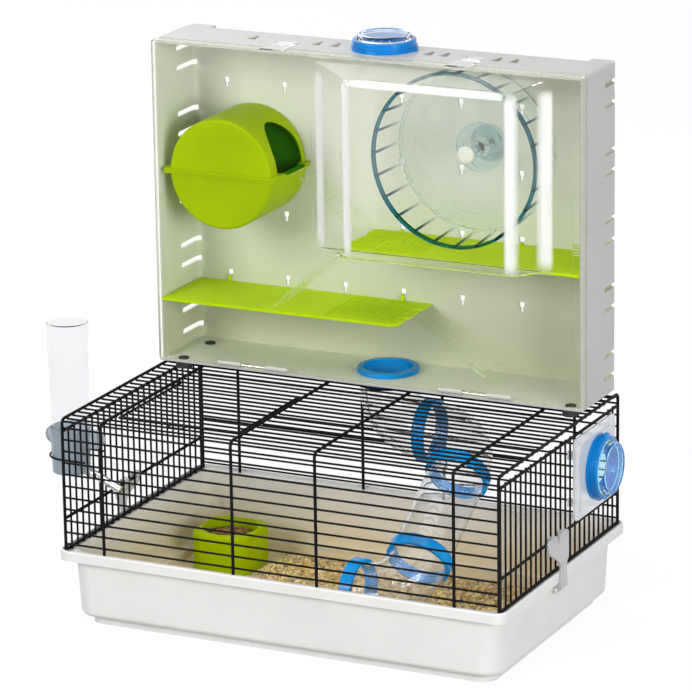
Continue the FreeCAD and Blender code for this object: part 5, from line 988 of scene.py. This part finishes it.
class CAGE_OT_case(bpy.types.Operator):
    """Finish the white shell, its feet and its pins"""

    bl_idname = "cage.case"
    bl_label = "Upper case"

    def execute(self, context):
        colours = context.scene.cage_colours
        # Painted shade on the outside, painted light on the inside, and painted shade with green bounce
        # light low on the inside walls
        shell = plastic_with_painted_inside_shading(
            "White plastic",
            colours.case,
            colours.case_inside_painted_light,
            middle_of("rear_shell"),
            painted_low_shade_colour=colours.case_low_painted_shade,
        )
        finish_nodes(shell, "rear_shell")
        white = moulded("Hub cap plastic", colours.tray, roughness=0.34, grain=1000.0, gloss=0.3)
        finish_nodes(white, "wheel_hub_cap")
        feet = moulded("Foot rubber", colours.rubber, roughness=0.6, grain=1400.0, bump=0.3)
        finish_nodes(feet, "case_feet")
        steel = polished_steel("Polished steel", colours.steel)
        pins = ("cover_hinge_pins", "latch_pins", "bracket_screw")
        finish_nodes(steel, "drinking_spout", "spout_ball", *pins)
        return {"FINISHED"}


class CAGE_OT_clear(bpy.types.Operator):
    """Finish the clear cover, latches, ramps, caps, tubes and bottle"""

    bl_idname = "cage.clear"
    bl_label = "Clear pieces"

    def execute(self, context):
        colours = context.scene.cage_colours
        # Painted highlights along the cover's bends, and a painted reflection as haze over its bulge
        cover = see_through(
            "Cover plastic",
            colours.cover,
            colours.haze_and_highlight_colour,
            roughness=0.01,
            ior=1.1,
            shadow=colours.cover_light,
            bends=cover_bend_highlights,
        )
        finish_nodes(cover, "front_cover")
        latch = see_through("Latch plastic", colours.clear, colours.haze_and_highlight_colour, ior=1.3, rim=0.7)
        finish_nodes(latch, "left_cover_latch", "right_cover_latch")
        tube = see_through(
            "Tube plastic", colours.clear, colours.haze_and_highlight_colour, ior=1.42, haze=0.03, grain=55.0, bump=1.0
        )
        finish_nodes(tube, "upper_elbow", "middle_elbow", "straight_tube", "lower_elbow")
        cap = see_through("Cap plastic", colours.clear, colours.haze_and_highlight_colour, ior=1.25, rim=0.12)
        finish_nodes(cap, "top_port_cap")
        tinted = see_through("Tinted cap plastic", colours.side_cap, colours.haze_and_highlight_colour, ior=1.3, rim=0.5)
        finish_nodes(tinted, "side_port_cap")
        plate = see_through(
            "Plate plastic", colours.clear, colours.plate, ior=1.2, haze=0.5, grain=420.0, bump=1.0
        )
        finish_nodes(plate, "side_port_plate")
        bottle = see_through("Bottle plastic", colours.clear, colours.haze_and_highlight_colour, ior=1.06, rim=0.5)
        finish_nodes(bottle, "water_bottle")
        ramp = see_through("Ramp plastic", colours.cover, colours.haze_and_highlight_colour, ior=1.06, rim=0.3)
        finish_nodes(ramp, "house_ramp", "middle_ramp", "lower_ramp")
        return {"FINISHED"}


class CAGE_OT_wheel(bpy.types.Operator):
    """Finish the running wheel, its stand and the bottle's holder"""

    bl_idname = "cage.wheel"
    bl_label = "Wheel and holder"

    def execute(self, context):
        colours = context.scene.cage_colours
        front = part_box("wheel_drum")[0].y
        drum = tinted_clear(
            "Wheel plastic",
            colours.wheel,
            colours.wheel_edge,
            colours.haze_and_highlight_colour,
            low=0.05,
            high=0.45,
            least=0.6,
            fade=(front + WHEEL_FADE[0], front + WHEEL_FADE[1]),
            far_colour=colours.wheel_far,
        )
        finish_nodes(drum, "wheel_drum")
        back = tinted_clear(
            "Wheel back plastic",
            colours.wheel_back,
            colours.wheel_hub,
            colours.haze_and_highlight_colour,
            low=0.55,
            high=0.97,
            rim=0.7,
        )
        finish_nodes(back, "wheel_back")
        stand = see_through("Stand plastic", colours.stand, colours.haze_and_highlight_colour, roughness=0.05)
        finish_nodes(stand, "wheel_bracket", "wheel_axle")
        holder = see_through(
            "Holder plastic", colours.holder_clear, colours.holder, roughness=0.1, haze=0.5, rim=0.7
        )
        finish_nodes(holder, "bottle_holder")
        return {"FINISHED"}


class CAGE_OT_lime(bpy.types.Operator):
    """Finish the lime shelves, nest and bowl"""

    bl_idname = "cage.lime"
    bl_label = "Lime pieces"

    def execute(self, context):
        colours = context.scene.cage_colours
        lime = moulded("Lime plastic", colours.lime, clouding=0.08, translucency=0.25, gloss=0.02)
        finish_nodes(lime, "food_bowl")
        # Painted light: the shelves in a lighter copy of the lime
        shelf = moulded("Shelf plastic", colours.lime_shelf_painted_light, clouding=0.08, translucency=0.25, gloss=0.02)
        finish_nodes(shelf, "left_shelf", "right_shelf")
        # Painted shade: the nest in a darker copy of the lime, and darker still inside
        house = plastic_with_painted_inside_shading(
            "House plastic",
            colours.lime_house_painted_shade,
            colours.house_inside,
            middle_of("house_base", "house_roof"),
            clouding=0.08,
            gloss=0.03,
            translucency=0.25,
        )
        finish_nodes(house, "house_base", "house_roof")
        return {"FINISHED"}


class CAGE_OT_couplings(bpy.types.Operator):
    """Finish the blue couplings and port rings"""

    bl_idname = "cage.couplings"
    bl_label = "Blue rings"

    def execute(self, context):
        colours = context.scene.cage_colours
        blue = moulded("Blue plastic", colours.blue, roughness=0.14, clouding=0.25, coat=0.1, gloss=0.15)
        finish_nodes(blue, "floor_port_ring", "top_port_ring", "side_port_ring")
        # Painted light: the couplings in a lighter copy of the blue
        bright = moulded(
            "Bright blue plastic", colours.blue_painted_lighter, roughness=0.14, clouding=0.5, coat=0.12, gloss=0.2
        )
        finish_nodes(bright, *[place + "_coupling" for place in ("upper", "middle", "lower", "mouth")])
        return {"FINISHED"}


class CAGE_OT_food(bpy.types.Operator):
    """Fill the bowl"""

    bl_idname = "cage.food"
    bl_label = "Food"

    def execute(self, context):
        colours = context.scene.cage_colours
        materials = {
            "food_seeds": wood_chip("Seeds", colours.seeds),
            "food_sticks": wood_chip("Green sticks", colours.sticks),
            "food_flakes": wood_chip("Orange flakes", colours.flakes),
        }
        build_food(context.scene.cage_fill, materials)
        return {"FINISHED"}


class CAGE_OT_stage(bpy.types.Operator):
    """Set the floor, the light and the camera"""

    bl_idname = "cage.stage"
    bl_label = "Stage"

    def execute(self, context):
        scene = context.scene
        scene.view_settings.view_transform = "Standard"
        build_camera(scene.cage_stage)
        build_world(scene.cage_stage.world_strength)
        build_floor(scene.cage_colours.floor)
        for lamp in LAMPS:
            add_lamp(*lamp)
        return {"FINISHED"}


class CAGE_PT_panel(bpy.types.Panel):
    """Buttons for each group of pieces"""

    bl_idname = "CAGE_PT_panel"
    bl_label = "Rodent cage"
    bl_space_type = "VIEW_3D"
    bl_region_type = "UI"
    bl_category = "Rodent cage"

    def draw(self, context):
        for settings in (context.scene.cage_colours, context.scene.cage_fill, context.scene.cage_stage):
            for name in settings.__annotations__:
                self.layout.prop(settings, name)
        for operator in OPERATORS:
            self.layout.operator(operator.bl_idname)


OPERATORS = (
    CAGE_OT_stage,
    CAGE_OT_tray,
    CAGE_OT_bedding,
    CAGE_OT_wires,
    CAGE_OT_case,
    CAGE_OT_clear,
    CAGE_OT_wheel,
    CAGE_OT_lime,
    CAGE_OT_couplings,
    CAGE_OT_food,
)
SETTINGS = (CageColours, CageFill, StageSettings)


def register():
    """Adds the settings, the operators and the panel."""
    for item in SETTINGS + OPERATORS + (CAGE_PT_panel,):
        bpy.utils.register_class(item)
    bpy.types.Scene.cage_colours = PointerProperty(type=CageColours)
    bpy.types.Scene.cage_fill = PointerProperty(type=CageFill)
    bpy.types.Scene.cage_stage = PointerProperty(type=StageSettings)


def unregister():
    """Takes them away again."""
    for name in ("cage_colours", "cage_fill", "cage_stage"):
        delattr(bpy.types.Scene, name)
    for item in reversed(SETTINGS + OPERATORS + (CAGE_PT_panel,)):
        bpy.utils.unregister_class(item)


def main():
    """Runs every operator in turn."""
    register()
    for operator in OPERATORS:
        group, name = operator.bl_idname.split(".")
        getattr(getattr(bpy.ops, group), name)()


if __name__ == "__main__":
    main()
